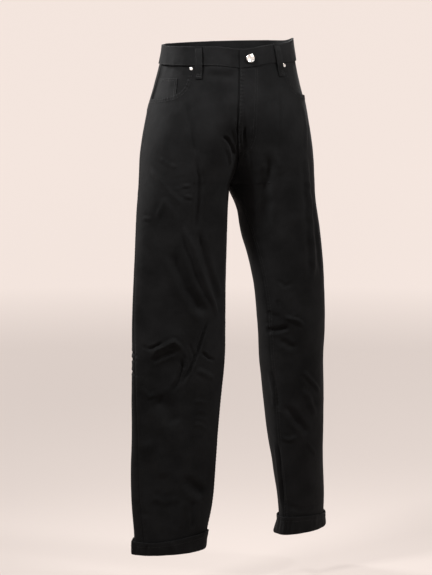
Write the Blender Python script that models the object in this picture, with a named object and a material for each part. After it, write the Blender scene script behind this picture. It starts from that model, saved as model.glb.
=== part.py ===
"""Slim five-pocket jeans in their worn, hollow form, with both hems turned up.

Every piece of cloth follows one master surface: level sections of each half of the garment,
joined at the centre seams above the crotch and parted into two legs below it. A piece is cut
from that surface in its own flat coordinates and gets its thickness along the surface's
normals, so that the layers lie on each other with an even gap.

Flat coordinates: "across" runs round one half, 0 at the centre front or front inseam, 0.5 at
the side seam and 1 at the centre back; "drop" is the distance below the waistband's middle.
Axes: +Z up, the front faces -Y, the wearer's left is +X. Lengths are metres, angles degrees.
"""
import bisect
import functools
import math
from collections import namedtuple

import bmesh
import bpy
from mathutils import Matrix, Vector

MM = 0.001

# Driving dimensions
BAND_HEIGHT = 38 * MM
RISE = 262 * MM
HEM_DROP = {"right": 1017 * MM, "left": 1006 * MM}
CLOTH = 1.4 * MM
GAP = 0.3 * MM
HALF_GAP = GAP / 2

# Waist line: it slopes up to the back and to the wearer's left, dips at the fly, and the
# band stands up in a peak over the wearer's left hip
WAIST_SLOPE = 0.10
WAIST_SHIFT = 2.5 * MM
WAIST_ROLL = 0.05
WAIST_EASE = 220 * MM
FLY_DIP = 7 * MM
FLY_DIP_REACH = 65 * MM
HIP_PEAK = 9 * MM
HIP_PEAK_PLACE = 0.42
HIP_PEAK_REACH = 0.16

# Crotch curve between the legs, a rounded U, and how softly the hips run on into the legs
CROTCH_SPAN = 190 * MM
CROTCH_POWER = 2.1
CROTCH_SOFT = 34 * MM
CROTCH_SOFT_SPAN = 78 * MM
CROTCH_SOFT_SEAM = 60 * MM
CROTCH_SOFT_SAMPLES = (-1.0, -0.5, 0.0, 0.5, 1.0)

HipSection = namedtuple("HipSection", "drop half_width front back squareness")
HIPS = (
    HipSection(-0.022, 0.1355, 0.098, 0.100, 0.86),
    HipSection(0.020, 0.1414, 0.102, 0.106, 0.86),
    HipSection(0.060, 0.1512, 0.107, 0.117, 0.86),
    HipSection(0.100, 0.1619, 0.110, 0.130, 0.86),
    HipSection(0.150, 0.1720, 0.109, 0.135, 0.88),
    HipSection(0.200, 0.1808, 0.102, 0.128, 0.92),
    HipSection(0.262, 0.1858, 0.091, 0.109, 0.95),
)

LegSection = namedtuple(
    "LegSection", "drop out set_back half_width front back squareness turn seam_forward"
)
LEGS = {
    "right": (
        LegSection(0.262, 0.0930, 0.000, 0.0928, 0.091, 0.109, 0.95, 0, 0.000),
        LegSection(0.285, 0.0946, 0.000, 0.0939, 0.0865, 0.102, 0.96, 0, 0.000),
        LegSection(0.310, 0.0970, 0.000, 0.0950, 0.082, 0.094, 0.98, 0, 0.000),
        LegSection(0.380, 0.1008, 0.000, 0.0969, 0.070, 0.076, 1.00, 0, 0.002),
        LegSection(0.460, 0.1043, 0.000, 0.0993, 0.059, 0.062, 1.03, 1, 0.006),
        LegSection(0.540, 0.1074, 0.000, 0.1028, 0.050, 0.051, 1.08, 2, 0.010),
        LegSection(0.620, 0.1088, 0.000, 0.1038, 0.044, 0.044, 1.12, 2, 0.014),
        LegSection(0.700, 0.1135, 0.000, 0.1009, 0.039, 0.039, 1.15, 2, 0.018),
        LegSection(0.780, 0.1169, 0.000, 0.0966, 0.038, 0.038, 1.18, 2, 0.022),
        LegSection(0.860, 0.1207, 0.000, 0.0949, 0.036, 0.036, 1.20, 2, 0.026),
        LegSection(0.930, 0.1226, 0.000, 0.0896, 0.037, 0.037, 1.18, 2, 0.029),
        LegSection(0.985, 0.1265, 0.000, 0.0800, 0.040, 0.040, 1.12, 2, 0.031),
        LegSection(1.017, 0.1285, 0.000, 0.0780, 0.040, 0.040, 1.10, 2, 0.032),
    ),
    "left": (
        LegSection(0.262, 0.0930, 0.000, 0.0928, 0.091, 0.109, 0.95, 0, 0.000),
        LegSection(0.285, 0.0985, 0.001, 0.0885, 0.089, 0.102, 0.96, 7, 0.000),
        LegSection(0.310, 0.1065, 0.003, 0.0850, 0.086, 0.095, 0.98, 15, 0.000),
        LegSection(0.380, 0.1239, 0.010, 0.0875, 0.077, 0.081, 1.00, 28, 0.000),
        LegSection(0.460, 0.1408, 0.020, 0.0897, 0.069, 0.070, 1.03, 35, 0.002),
        LegSection(0.540, 0.1497, 0.030, 0.0870, 0.067, 0.068, 1.08, 38, 0.004),
        LegSection(0.620, 0.1556, 0.042, 0.0860, 0.064, 0.065, 1.12, 40, 0.006),
        LegSection(0.700, 0.1635, 0.052, 0.0830, 0.063, 0.063, 1.15, 42, 0.008),
        LegSection(0.780, 0.1715, 0.062, 0.0832, 0.057, 0.057, 1.18, 43, 0.009),
        LegSection(0.860, 0.1813, 0.070, 0.0846, 0.049, 0.049, 1.20, 44, 0.010),
        LegSection(0.930, 0.1914, 0.076, 0.0863, 0.042, 0.042, 1.22, 44, 0.010),
        LegSection(0.985, 0.1944, 0.080, 0.0870, 0.038, 0.038, 1.25, 44, 0.010),
        LegSection(1.006, 0.1955, 0.081, 0.0870, 0.038, 0.038, 1.25, 44, 0.010),
    ),
}

# Largest folds: ridges stand up, troughs have a negative height
Fold = namedtuple("Fold", "half from_across from_drop to_across to_drop half_width height")
FOLDS = (
    # Drag lines from the fly and down the front of the wearer's right thigh
    Fold("right", 0.110, 0.145, 0.035, 0.200, 0.024, -0.0040),
    Fold("right", 0.165, 0.160, 0.080, 0.225, 0.024, 0.0030),
    Fold("right", 0.239, 0.124, 0.209, 0.190, 0.024, -0.0025),
    Fold("right", 0.209, 0.190, 0.236, 0.326, 0.024, -0.0025),
    Fold("right", 0.236, 0.326, 0.222, 0.395, 0.024, -0.0020),
    Fold("right", 0.231, 0.358, 0.170, 0.467, 0.026, 0.0040),
    Fold("right", 0.170, 0.467, 0.100, 0.547, 0.024, 0.0045),
    Fold("right", 0.115, 0.400, 0.075, 0.520, 0.024, -0.0035),
    # Wearer's right knee: a peaked ridge, the hollow below it and two crossing hollows
    Fold("right", 0.415, 0.603, 0.317, 0.581, 0.024, 0.0045),
    Fold("right", 0.317, 0.581, 0.262, 0.612, 0.024, 0.0040),
    Fold("right", 0.400, 0.640, 0.310, 0.622, 0.024, -0.0035),
    Fold("right", 0.164, 0.538, 0.210, 0.589, 0.024, -0.0035),
    Fold("right", 0.210, 0.589, 0.240, 0.640, 0.024, -0.0040),
    Fold("right", 0.090, 0.640, 0.190, 0.615, 0.024, -0.0030),
    # Wearer's right shin and hem
    Fold("right", 0.300, 0.690, 0.200, 0.860, 0.028, 0.0030),
    Fold("right", 0.420, 0.730, 0.370, 0.900, 0.026, -0.0025),
    Fold("right", 0.120, 0.925, 0.360, 0.950, 0.026, 0.0030),
    # Back of the wearer's right leg
    Fold("right", 0.950, 0.300, 0.700, 0.335, 0.028, -0.0035),
    Fold("right", 0.930, 0.350, 0.740, 0.385, 0.026, 0.0025),
    Fold("right", 0.600, 0.585, 0.780, 0.565, 0.024, 0.0040),
    Fold("right", 0.620, 0.622, 0.800, 0.605, 0.024, -0.0040),
    Fold("right", 0.660, 0.662, 0.850, 0.652, 0.024, 0.0035),
    Fold("right", 0.700, 0.790, 0.850, 0.860, 0.026, -0.0030),
    # Front of the wearer's left leg
    Fold("left", 0.053, 0.112, 0.106, 0.194, 0.024, -0.0030),
    Fold("left", 0.106, 0.194, 0.130, 0.300, 0.026, -0.0030),
    Fold("left", 0.080, 0.470, 0.100, 0.525, 0.024, 0.0025),
    Fold("left", 0.087, 0.537, 0.185, 0.562, 0.024, 0.0035),
    Fold("left", 0.030, 0.562, 0.110, 0.580, 0.024, -0.0035),
    Fold("left", 0.310, 0.500, 0.390, 0.600, 0.026, 0.0030),
    Fold("left", 0.240, 0.650, 0.300, 0.800, 0.028, 0.0030),
    Fold("left", 0.120, 0.690, 0.160, 0.860, 0.026, -0.0025),
    Fold("left", 0.080, 0.930, 0.340, 0.945, 0.026, 0.0030),
    # Back of the wearer's left leg
    Fold("left", 0.950, 0.305, 0.700, 0.340, 0.028, -0.0035),
    Fold("left", 0.930, 0.355, 0.740, 0.390, 0.026, 0.0025),
    Fold("left", 0.600, 0.560, 0.780, 0.545, 0.024, 0.0035),
    Fold("left", 0.620, 0.600, 0.800, 0.582, 0.024, -0.0040),
    Fold("left", 0.640, 0.640, 0.840, 0.632, 0.024, 0.0035),
    Fold("left", 0.700, 0.790, 0.860, 0.850, 0.026, -0.0030),
)

# The wearer's left front laps over the other half: drop and how far past the centre
FLY_END = 213 * MM
FLY_EDGE = (
    (0.01915, 8.0 * MM),
    (0.060, 10.0 * MM),
    (0.100, 12.5 * MM),
    (0.141, 14.0 * MM),
    (0.170, 11.5 * MM),
    (0.190, 7.0 * MM),
    (0.206, 2.0 * MM),
    (FLY_END, 0.0),
)
LAP_LIFT = 1.7 * MM
LAP_FLAT = 38 * MM
LAP_FADE = 66 * MM
LAP_LOWER_FADE = 40 * MM

# Waistband
BAND_OUT = 1.0 * MM
BAND_LIFT = 1.6 * MM
BAND_SINK = 1.2 * MM
BAND_SINK_FLAT = 10 * MM
BAND_SINK_FADE = 30 * MM
BAND_LAP = 8 * MM
BAND_UNDERLAP = 35 * MM

# Front pockets: a run is a length round the garment from its centre line
MOUTH_INNER_RUN = {"right": 107 * MM, "left": 97 * MM}
MOUTH_SIDE_DROP = 90 * MM
MOUTH_SLOPE = 5 * MM
MOUTH_LEAN = 0.010
MOUTH_SQUARENESS = 4.5
MOUTH_STEPS = 9
MOUTH_GAPE = {"right": 1.5 * MM, "left": 3.5 * MM}
MOUTH_GAPE_REACH = 48 * MM
FACING_MARGIN = 18 * MM
FACING_DEPTH = {"right": 3.1 * MM, "left": 1.7 * MM}
COIN_CLOTH = 1.1 * MM
COIN_CORNERS = ((0.336, 0.044), (0.484, 0.0465), (0.484, 0.098), (0.318, 0.098))

# Yokes and back pockets
YOKE_SIDE = 55 * MM
YOKE_CENTRE = 88 * MM
POCKET_CORNERS = (
    (36 * MM, 0.108),
    (176 * MM, 0.100),
    (166 * MM, 0.225),
    (108 * MM, 0.250),
    (50 * MM, 0.232),
)

# Fly shield and zip
ZIP_START = 0.5 * MM
ZIP_WIDTH = 22 * MM
ZIP_END = 150 * MM
ZIP_THICKNESS = 1.0 * MM
SHIELD_RIGHT = 12 * MM
SHIELD_LEFT = 33 * MM
SHIELD_END = 165 * MM
SHIELD_ROUND = 22 * MM
SHIELD_FOOT_SHARE = 0.4

# Belt loops: runs of a loop's middle at the band's top and at its end
LOOP_WIDTH = 14 * MM
LOOP_THICKNESS = 1.8 * MM
LOOP_STAND = 3.2 * MM
LOOP_TOP_SEAT = BAND_OUT + GAP
LOOP_SEAT_LENGTH = 5 * MM
LOOP_RUN_UP = 8 * MM
LOOP_FALL_START = 20 * MM
LOOP_END = 46 * MM
LOOP_CREASES = (-0.014, -0.010, -0.006, 0.020, 0.027, 0.034, 0.041)
LOOP_FRONT_RIGHT = (90 * MM, 92 * MM)
LOOP_FRONT_LEFT = (75 * MM, 87 * MM)
LOOP_BACK = (112 * MM, 116 * MM)

# Turned-up hems
CUFF_FOOT_OUT = 2.6 * MM
CUFF_TOP_OUT = 5.2 * MM
CUFF_WALL = 2.6 * MM
CUFF_CLEAR = 0.5 * MM
CUFF_SIDE_HEIGHT = 26 * MM
CUFF_INSEAM_RISE = 13 * MM

# Metal
METAL_GAP = 0.4 * MM
BUTTON_RUN = 12 * MM
BUTTON_DROP = 1 * MM
BUTTON_RADIUS = 8.5 * MM
BUTTON_SHANK_RADIUS = 4 * MM
BUTTON_SHANK = 1.2 * MM
BUTTON_RIM = 1.6 * MM
BUTTON_CROWN = 0.8 * MM
RIVET_IN = 1 * MM
RIVET_DROP = 25 * MM
RIVET_RADIUS = 3.4 * MM
RIVET_RIM = 0.5 * MM
RIVET_CROWN = 0.7 * MM

FINISHES = {
    "twill": ((0.012, 0.012, 0.013), 0.9, 0.0),
    "metal": ((0.80, 0.80, 0.80), 0.25, 1.0),
}
PIECE_FINISHES = {"waist_button": "metal", "rivet": "metal"}

FOLD_SEAM_FADE = 15 * MM
FOLD_REACH = 200 * MM

RING_STEPS = 240
NORMAL_STEP = 3 * MM
NORMAL_SHARE = 0.01
MITRE_LEAST = 0.45
CUT_MARGIN = 1e-6
CUT_SNAP = 1e-7
SIDE_SIGN = {"right": -1, "left": 1}

# Master grid: columns round each half, rows down it, closer where the legs part
FRONT_COLUMNS = (0.0, 0.025, 0.075, 0.135, 0.195, 0.255, 0.315, 0.375, 0.4375)
COLUMNS = FRONT_COLUMNS + (0.5,) + tuple(1 - share for share in reversed(FRONT_COLUMNS))
CROTCH_STEPS = (1.5 * MM, 6 * MM, 14 * MM, 25 * MM, 40 * MM, 58 * MM, 80 * MM)
HIP_CELLS = 7
LEG_CELLS = 26
CUFF_FOOT = 3.5 * MM


def ease(share):
    """Smooth step from 0 to 1."""
    share = min(max(share, 0.0), 1.0)
    return share * share * (3 - 2 * share)


def read_table(rows, column, drop):
    """Smooth curve through one column of a table, read at a drop."""
    drops = [row.drop for row in rows]
    values = [getattr(row, column) for row in rows]
    last = len(rows) - 1
    index = min(max(bisect.bisect_right(drops, drop) - 1, 0), last - 1)

    def chord(k):
        return (values[k + 1] - values[k]) / (drops[k + 1] - drops[k])

    def slope(k):
        if k == 0 or k == last:
            return chord(min(k, last - 1))
        before, after = drops[k] - drops[k - 1], drops[k + 1] - drops[k]
        return (chord(k - 1) * after + chord(k) * before) / (before + after)

    span = drops[index + 1] - drops[index]
    t = (drop - drops[index]) / span
    return (
        (2 * t**3 - 3 * t**2 + 1) * values[index]
        + (t**3 - 2 * t**2 + t) * span * slope(index)
        + (3 * t**2 - 2 * t**3) * values[index + 1]
        + (t**3 - t**2) * span * slope(index + 1)
    )


@functools.lru_cache(maxsize=None)
def section_ring(half, drop):
    """Points round one level section, from the inner front to the inner back, and run lengths."""
    sign = SIDE_SIGN[half]
    if drop < RISE:
        hips = {name: read_table(HIPS, name, drop) for name in HipSection._fields[1:]}
        squareness, front, back = hips["squareness"], hips["front"], hips["back"]
        height = min((RISE - drop) / CROTCH_SPAN, 1.0)
        reach = (1 - (1 - height) ** CROTCH_POWER) ** (1 / CROTCH_POWER)
        share = math.sqrt(max(1 - reach ** (2 / squareness), 0.0))
        half_width = (hips["half_width"] - HALF_GAP) / (1 + share)
        out, set_back, turn, seam_forward = HALF_GAP + share * half_width, 0.0, 0.0, 0.0
        start = math.acos(min(share, 1.0))
    else:
        rows = LEGS[half]
        leg = {name: read_table(rows, name, drop) for name in LegSection._fields[1:]}
        squareness, front, back = leg["squareness"], leg["front"], leg["back"]
        half_width, out, set_back = leg["half_width"], leg["out"], leg["set_back"]
        turn, seam_forward, start = math.radians(leg["turn"]), leg["seam_forward"], 0.0
    points = []
    for step in range(RING_STEPS + 1):
        angle = start + (2 * math.pi - 2 * start) * step / RING_STEPS
        sine = math.sin(angle)
        depth = -front if step * 2 <= RING_STEPS else back
        x = -sign * half_width * math.cos(angle)
        y = depth * abs(sine) ** squareness
        points.append((
            sign * out + x * math.cos(turn) - y * math.sin(turn),
            set_back + x * math.sin(turn) + y * math.cos(turn),
        ))
    runs = [0.0]
    for before, after in zip(points, points[1:]):
        runs.append(runs[-1] + math.dist(before, after))
    return points, runs, runs[-1] / 2 - seam_forward


def even_steps(first, last, count):
    return [first + (last - first) * step / count for step in range(count + 1)]


def grid_rows(half):
    """Drops of the master grid's rows, from the top of the waistband to the cuff's fold."""
    hips = [RISE - step for step in reversed(CROTCH_STEPS)]
    legs = [RISE + step for step in CROTCH_STEPS]
    panel_end = HEM_DROP[half] - CUFF_FOOT - GAP
    rows = [-BAND_HEIGHT / 2, 0.0] + even_steps(BAND_HEIGHT / 2, hips[0], HIP_CELLS)
    rows += hips[1:] + [RISE] + legs[:-1] + even_steps(legs[-1], panel_end, LEG_CELLS)
    return rows + [HEM_DROP[half]]


ROWS = {half: grid_rows(half) for half in SIDE_SIGN}


def girth(half, drop):
    """Length round one half's section."""
    return section_ring(half, drop)[1][-1]


def section_point(half, across, drop):
    """Point of the level sections, with the waist line's slopes."""
    points, runs, seam = section_ring(half, round(drop, 7))
    if across <= 0.5:
        run = across / 0.5 * seam
    else:
        run = seam + (across - 0.5) / 0.5 * (runs[-1] - seam)
    index = min(max(bisect.bisect_right(runs, run) - 1, 0), RING_STEPS - 1)
    part = (run - runs[index]) / (runs[index + 1] - runs[index])
    x = points[index][0] + part * (points[index + 1][0] - points[index][0])
    y = points[index][1] + part * (points[index + 1][1] - points[index][1])
    lift = WAIST_SLOPE * y + WAIST_ROLL * x + WAIST_SHIFT
    if y < 0:
        lift -= FLY_DIP * (1 - ease(abs(x) / FLY_DIP_REACH))
    lift *= 1 - ease(drop / WAIST_EASE)
    if half == "left" and drop < BAND_HEIGHT / 2:
        beside = 1 - ease(abs(across - HIP_PEAK_PLACE) / HIP_PEAK_REACH)
        lift += HIP_PEAK * beside * (BAND_HEIGHT / 2 - drop) / BAND_HEIGHT
    return Vector((x, y, lift - drop))


def bare_point(half, across, drop):
    """Point of the master surface before the folds, rounded where a leg starts."""
    point = section_point(half, across, drop)
    reach = CROTCH_SOFT * (1 - ease(abs(drop - RISE) / CROTCH_SOFT_SPAN))
    seam_distance = min(across, 1 - across) * girth(half, round(drop, 7))
    share = ease(seam_distance / CROTCH_SOFT_SEAM)
    if not reach or not share:
        return point
    mean = Vector()
    for sample in CROTCH_SOFT_SAMPLES:
        mean += section_point(half, across, drop + sample * reach)
    return point.lerp(mean / len(CROTCH_SOFT_SAMPLES), share)


def fold_height(half, across, drop):
    """Height of the folds over the bare surface, fading out at the centre and inside seams."""
    total = 0.0
    here = (across * girth(half, round(drop, 7)), drop)
    for fold in FOLDS:
        if fold.half != half or abs(drop - (fold.from_drop + fold.to_drop) / 2) > FOLD_REACH:
            continue
        start = (fold.from_across * girth(half, fold.from_drop), fold.from_drop)
        end = (fold.to_across * girth(half, fold.to_drop), fold.to_drop)
        along = (end[0] - start[0], end[1] - start[1])
        length = math.hypot(*along)
        share = ((here[0] - start[0]) * along[0] + (here[1] - start[1]) * along[1]) / length**2
        share = min(max(share, 0.0), 1.0)
        nearest = (start[0] + share * along[0], start[1] + share * along[1])
        away = math.dist(here, nearest) / fold.half_width
        if away < 1:
            total += fold.height * (1 - away**2) ** 2
    seam_distance = min(across, 1 - across) * girth(half, round(drop, 7))
    return total * ease(seam_distance / FOLD_SEAM_FADE)


def tangent_normal(point_at, half, across, drop):
    """Outward unit normal of a surface function, by differences that stay on this half."""
    low, high = (drop - NORMAL_STEP, drop + NORMAL_STEP)
    if across in (0.0, 1.0):
        low = max(low, RISE) if drop >= RISE else low
        high = high if drop >= RISE else min(high, RISE)
    before, after = max(across - NORMAL_SHARE, 0.0), min(across + NORMAL_SHARE, 1.0)
    round_step = point_at(half, after, drop) - point_at(half, before, drop)
    down_step = point_at(half, across, high) - point_at(half, across, low)
    return (SIDE_SIGN[half] * down_step.cross(round_step)).normalized()


def master_point(half, across, drop):
    """Point of the master surface, folds and all."""
    height = fold_height(half, across, drop)
    point = bare_point(half, across, drop)
    if height:
        point = point + tangent_normal(bare_point, half, across, drop) * height
    return point


def master_normal(half, across, drop):
    """Direction in which cloth thickness is laid, mitred where two pieces meet at a seam."""
    normal = tangent_normal(master_point, half, across, drop)
    if across not in (0.0, 1.0):
        return normal
    if drop < RISE:
        flat = Vector((0.0, normal.y, normal.z)).normalized()
        return flat / max(flat.dot(normal), MITRE_LEAST)
    other = tangent_normal(master_point, half, 1.0 - across, drop)
    mean = (normal + other).normalized()
    if drop == RISE:
        mean = (mean + Vector((0.0, 0.0, -1.0))).normalized()
    return mean / max(mean.dot(normal), MITRE_LEAST)


@functools.lru_cache(maxsize=None)
def master_vertex(half, column, row):
    across, drop = COLUMNS[column], ROWS[half][row]
    return master_point(half, across, drop), master_normal(half, across, drop)


def master_corners(half, across, drop):
    """Corners of the master triangle at a flat place, as (column, row), with their weights."""
    rows = ROWS[half]
    column = min(max(bisect.bisect_right(COLUMNS, across) - 1, 0), len(COLUMNS) - 2)
    row = min(max(bisect.bisect_right(rows, drop) - 1, 0), len(rows) - 2)
    a = (across - COLUMNS[column]) / (COLUMNS[column + 1] - COLUMNS[column])
    b = (drop - rows[row]) / (rows[row + 1] - rows[row])
    first, last = (column, row), (column + 1, row + 1)
    if a >= b:
        return ((first, 1 - a), ((column + 1, row), a - b), (last, b))
    return ((first, 1 - b), ((column, row + 1), b - a), (last, a))


def on_master(half, across, drop):
    """Point and normal on the master surface's triangle at a flat place."""
    point, normal = Vector(), Vector()
    for (column, row), weight in master_corners(half, across, drop):
        corner = master_vertex(half, column, row)
        point += corner[0] * weight
        normal += corner[1] * weight
    return point, normal


# Flat coordinates of the pieces

Spot = namedtuple("Spot", "position half across drop run")
Domain = namedtuple("Domain", "columns locate")


def round_place(position):
    """Half and across of a place all round: 0 centre front, 1 centre back, 2 centre front again."""
    if position < 0:
        return "right", -position
    if position <= 1:
        return "left", position
    if position <= 2:
        return "right", 2 - position
    return "left", position - 2


ROUND_COLUMNS = sorted(
    {-share for share in COLUMNS[:5]}
    | set(COLUMNS)
    | {2 - share for share in COLUMNS}
    | {2 + share for share in COLUMNS[:5]}
)
DOMAINS = {
    "left": Domain(COLUMNS, lambda position: ("left", position)),
    "right": Domain(COLUMNS, lambda position: ("right", position)),
    "round": Domain(ROUND_COLUMNS, round_place),
}

BAND_TOP = -BAND_HEIGHT / 2
BAND_SEAM = BAND_HEIGHT / 2
PANEL_TOP = BAND_SEAM + HALF_GAP
PANEL_END = {half: ROWS[half][-2] for half in SIDE_SIGN}
SEAM_INSET = HALF_GAP / 0.40


def front_share(half, run, drop):
    """Across of a place a run away from the centre front."""
    return run / girth(half, round(drop, 7))


def back_share(half, run, drop):
    """Across of a place a run away from the centre back."""
    return 1 - run / girth(half, round(drop, 7))


def master_sheet(domain, low, high):
    """Sheet of the master grid's triangles that touch a box of flat coordinates."""
    sheet = bmesh.new()
    corners = {}

    def corner(position, drop):
        if (position, drop) not in corners:
            corners[position, drop] = sheet.verts.new((position, drop, 0.0))
        return corners[position, drop]

    rows = ROWS["left"] if domain is not DOMAINS["right"] else ROWS["right"]
    for before, after in zip(domain.columns, domain.columns[1:]):
        if after <= low[0] or before >= high[0]:
            continue
        outward = domain.locate(after - 1e-6)[1] > domain.locate(before + 1e-6)[1]
        for upper, lower in zip(rows, rows[1:]):
            if lower <= low[1] or upper >= high[1]:
                continue
            ring = [corner(before, upper), corner(after, upper)]
            ring += [corner(after, lower), corner(before, lower)]
            if not outward:
                ring = ring[1:] + ring[:1]
            sheet.faces.new((ring[0], ring[1], ring[2]))
            sheet.faces.new((ring[0], ring[2], ring[3]))
    return sheet


def cut_line(sheet, start, end):
    """Cut the sheet's triangles that a straight line passes over."""
    low = (min(start[0], end[0]) - CUT_MARGIN, min(start[1], end[1]) - CUT_MARGIN)
    high = (max(start[0], end[0]) + CUT_MARGIN, max(start[1], end[1]) + CUT_MARGIN)
    faces = []
    for face in sheet.faces:
        xs = [vert.co.x for vert in face.verts]
        ys = [vert.co.y for vert in face.verts]
        if max(xs) > low[0] and min(xs) < high[0] and max(ys) > low[1] and min(ys) < high[1]:
            faces.append(face)
    edges = {edge for face in faces for edge in face.edges}
    verts = {vert for face in faces for vert in face.verts}
    across = Vector((start[1] - end[1], end[0] - start[0], 0.0)).normalized()
    bmesh.ops.bisect_plane(
        sheet,
        geom=[*faces, *edges, *verts],
        dist=CUT_SNAP,
        plane_co=(start[0], start[1], 0.0),
        plane_no=across,
    )


def inside(outline, place):
    """Whether a flat place lies inside an outline."""
    found = False
    for start, end in zip(outline, outline[1:] + outline[:1]):
        if (start[1] > place[1]) != (end[1] > place[1]):
            share = (place[1] - start[1]) / (end[1] - start[1])
            if place[0] < start[0] + share * (end[0] - start[0]):
                found = not found
    return found


def cut_sheet(domain, outline, creases=()):
    """Flat sheet of master triangles cut to an outline, with extra level cuts."""
    low = (min(x for x, _ in outline), min(y for _, y in outline))
    high = (max(x for x, _ in outline), max(y for _, y in outline))
    sheet = master_sheet(domain, low, high)
    for start, end in zip(outline, outline[1:] + outline[:1]):
        cut_line(sheet, start, end)
    for drop in creases:
        cut_line(sheet, (low[0], drop), (high[0], drop))
    outside = [face for face in sheet.faces if not inside(outline, face.calc_center_median())]
    bmesh.ops.delete(sheet, geom=outside, context="FACES")
    bmesh.ops.triangulate(sheet, faces=sheet.faces[:])
    return sheet


def spot_at(domain, position, drop):
    half, across = domain.locate(position)
    if drop >= RISE - CUT_MARGIN:
        across = min(max(across, SEAM_INSET), 1 - SEAM_INSET)
    return Spot(position, half, across, drop, across * girth(half, round(drop, 7)))


def cloth_piece(name, domain_name, outline, outer, inner, creases=()):
    """Closed body between two heights over the master surface, inside a flat outline.

    A height is a number or a function of the spot.
    """
    domain = DOMAINS[domain_name]
    body = cut_sheet(domain, outline, creases)
    grown = bmesh.ops.extrude_face_region(body, geom=body.faces[:], use_keep_orig=True)
    raised = {item for item in grown["geom"] if isinstance(item, bmesh.types.BMVert)}
    for vert in body.verts:
        spot = spot_at(domain, vert.co.x, vert.co.y)
        height = outer if vert in raised else inner
        point, normal = on_master(spot.half, spot.across, spot.drop)
        vert.co = point + normal * (height(spot) if callable(height) else height)
    bmesh.ops.triangulate(body, faces=body.faces[:])
    bmesh.ops.recalc_face_normals(body, faces=body.faces[:])
    return add_object(name, body)


def cloth_ring(name, half, profile):
    """Closed band round a leg; the profile gives (height, drop) pairs at each across."""
    body = bmesh.new()
    rings = []
    for across in COLUMNS[:-1]:
        ring = []
        for height, drop in profile(across):
            point, normal = on_master(half, across, drop)
            ring.append(body.verts.new(point + normal * height))
        rings.append(ring)
    for ring, following in zip(rings, rings[1:] + rings[:1]):
        for k in range(len(ring)):
            after = (k + 1) % len(ring)
            body.faces.new((ring[k], ring[after], following[after], following[k]))
    bmesh.ops.triangulate(body, faces=body.faces[:])
    bmesh.ops.recalc_face_normals(body, faces=body.faces[:])
    return add_object(name, body)


def turned_piece(name, profile, point, normal, segments):
    """Closed turned body; the profile runs from the base's centre to the top's centre."""
    body = bmesh.new()
    verts = [body.verts.new((radius, 0.0, height)) for radius, height in profile]
    edges = [body.edges.new(pair) for pair in zip(verts, verts[1:])]
    bmesh.ops.spin(
        body,
        geom=verts + edges,
        cent=(0.0, 0.0, 0.0),
        axis=(0.0, 0.0, 1.0),
        angle=2 * math.pi,
        steps=segments,
        use_merge=True,
    )
    bmesh.ops.remove_doubles(body, verts=body.verts[:], dist=1e-6)
    turn = Vector((0.0, 0.0, 1.0)).rotation_difference(normal)
    bmesh.ops.transform(
        body, matrix=Matrix.Translation(point) @ turn.to_matrix().to_4x4(), verts=body.verts[:]
    )
    bmesh.ops.triangulate(body, faces=body.faces[:])
    bmesh.ops.recalc_face_normals(body, faces=body.faces[:])
    return add_object(name, body)


def add_object(name, body):
    mesh = bpy.data.meshes.new(name)
    body.to_mesh(mesh)
    body.free()
    mesh.materials.append(add_material(name))
    mesh.shade_smooth()
    mesh.set_sharp_from_angle(angle=math.radians(40))
    piece = bpy.data.objects.new(name, mesh)
    bpy.context.scene.collection.objects.link(piece)
    return piece


def add_material(name):
    """Material for one piece: black twill or bright metal."""
    colour, roughness, metallic = FINISHES["twill"]
    for word, finish in PIECE_FINISHES.items():
        if name.startswith(word):
            colour, roughness, metallic = FINISHES[finish]
    material = bpy.data.materials.new(name)
    material.use_nodes = True
    shader = material.node_tree.nodes["Principled BSDF"]
    shader.inputs["Base Color"].default_value = (*colour, 1.0)
    shader.inputs["Roughness"].default_value = roughness
    shader.inputs["Metallic"].default_value = metallic
    return material


# Heights over the master surface


def lap_lift(run, drop):
    """How far the lapping front stands up, over the fly and just beside it."""
    beside = 1 - ease((run - LAP_FLAT) / (LAP_FADE - LAP_FLAT))
    above = 1 - ease((drop - FLY_END) / LAP_LOWER_FADE)
    return LAP_LIFT * beside * above


def mouth_lift(spot):
    """How far the cloth stands off round the pocket mouth's outer end, flat on each triangle."""
    lift = 0.0
    for (column, row), weight in master_corners(spot.half, spot.across, spot.drop):
        drop = ROWS[spot.half][row]
        beside = (COLUMNS[column] - 0.5) * girth(spot.half, round(drop, 7))
        away = math.hypot(beside, drop - MOUTH_SIDE_DROP)
        lift += weight * (1 - ease(away / MOUTH_GAPE_REACH))
    return lift * MOUTH_GAPE[spot.half]


def panel_height(base):
    """Height of cloth that stands off with the gaping pocket mouth."""
    return lambda spot: base + mouth_lift(spot)


def left_front_height(base):
    """The wearer's left front also laps over the other half."""

    def height(spot):
        if spot.half == "right":
            return base + lap_lift(0.0, spot.drop)
        return base + lap_lift(spot.run, spot.drop) + mouth_lift(spot)

    return height


def band_height(base):
    """The band's left end stands over its right end, which sinks and runs on below it."""

    def height(spot):
        if spot.position > 2:
            return base - BAND_SINK
        if spot.position >= 1:
            return base - BAND_SINK * (1 - ease((spot.run - BAND_SINK_FLAT) / BAND_SINK_FADE))
        if spot.position < 0:
            return base + BAND_LIFT
        return base + BAND_LIFT * (1 - ease((spot.run - LAP_FLAT) / (LAP_FADE - LAP_FLAT)))

    return height


def loop_height(extra):
    """A belt loop lies on the band's top edge, stands off its middle and lands on the panel."""

    def height(spot):
        if spot.drop < 0:
            stand = LOOP_TOP_SEAT + (LOOP_STAND - LOOP_TOP_SEAT) * ease(
                (spot.drop - BAND_TOP - LOOP_SEAT_LENGTH) / LOOP_RUN_UP
            )
        else:
            stand = LOOP_STAND + (GAP - LOOP_STAND) * ease(
                (spot.drop - LOOP_FALL_START) / (LOOP_END - LOOP_SEAT_LENGTH - LOOP_FALL_START)
            )
        return stand + extra

    return height


# Outlines of the pieces


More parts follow.
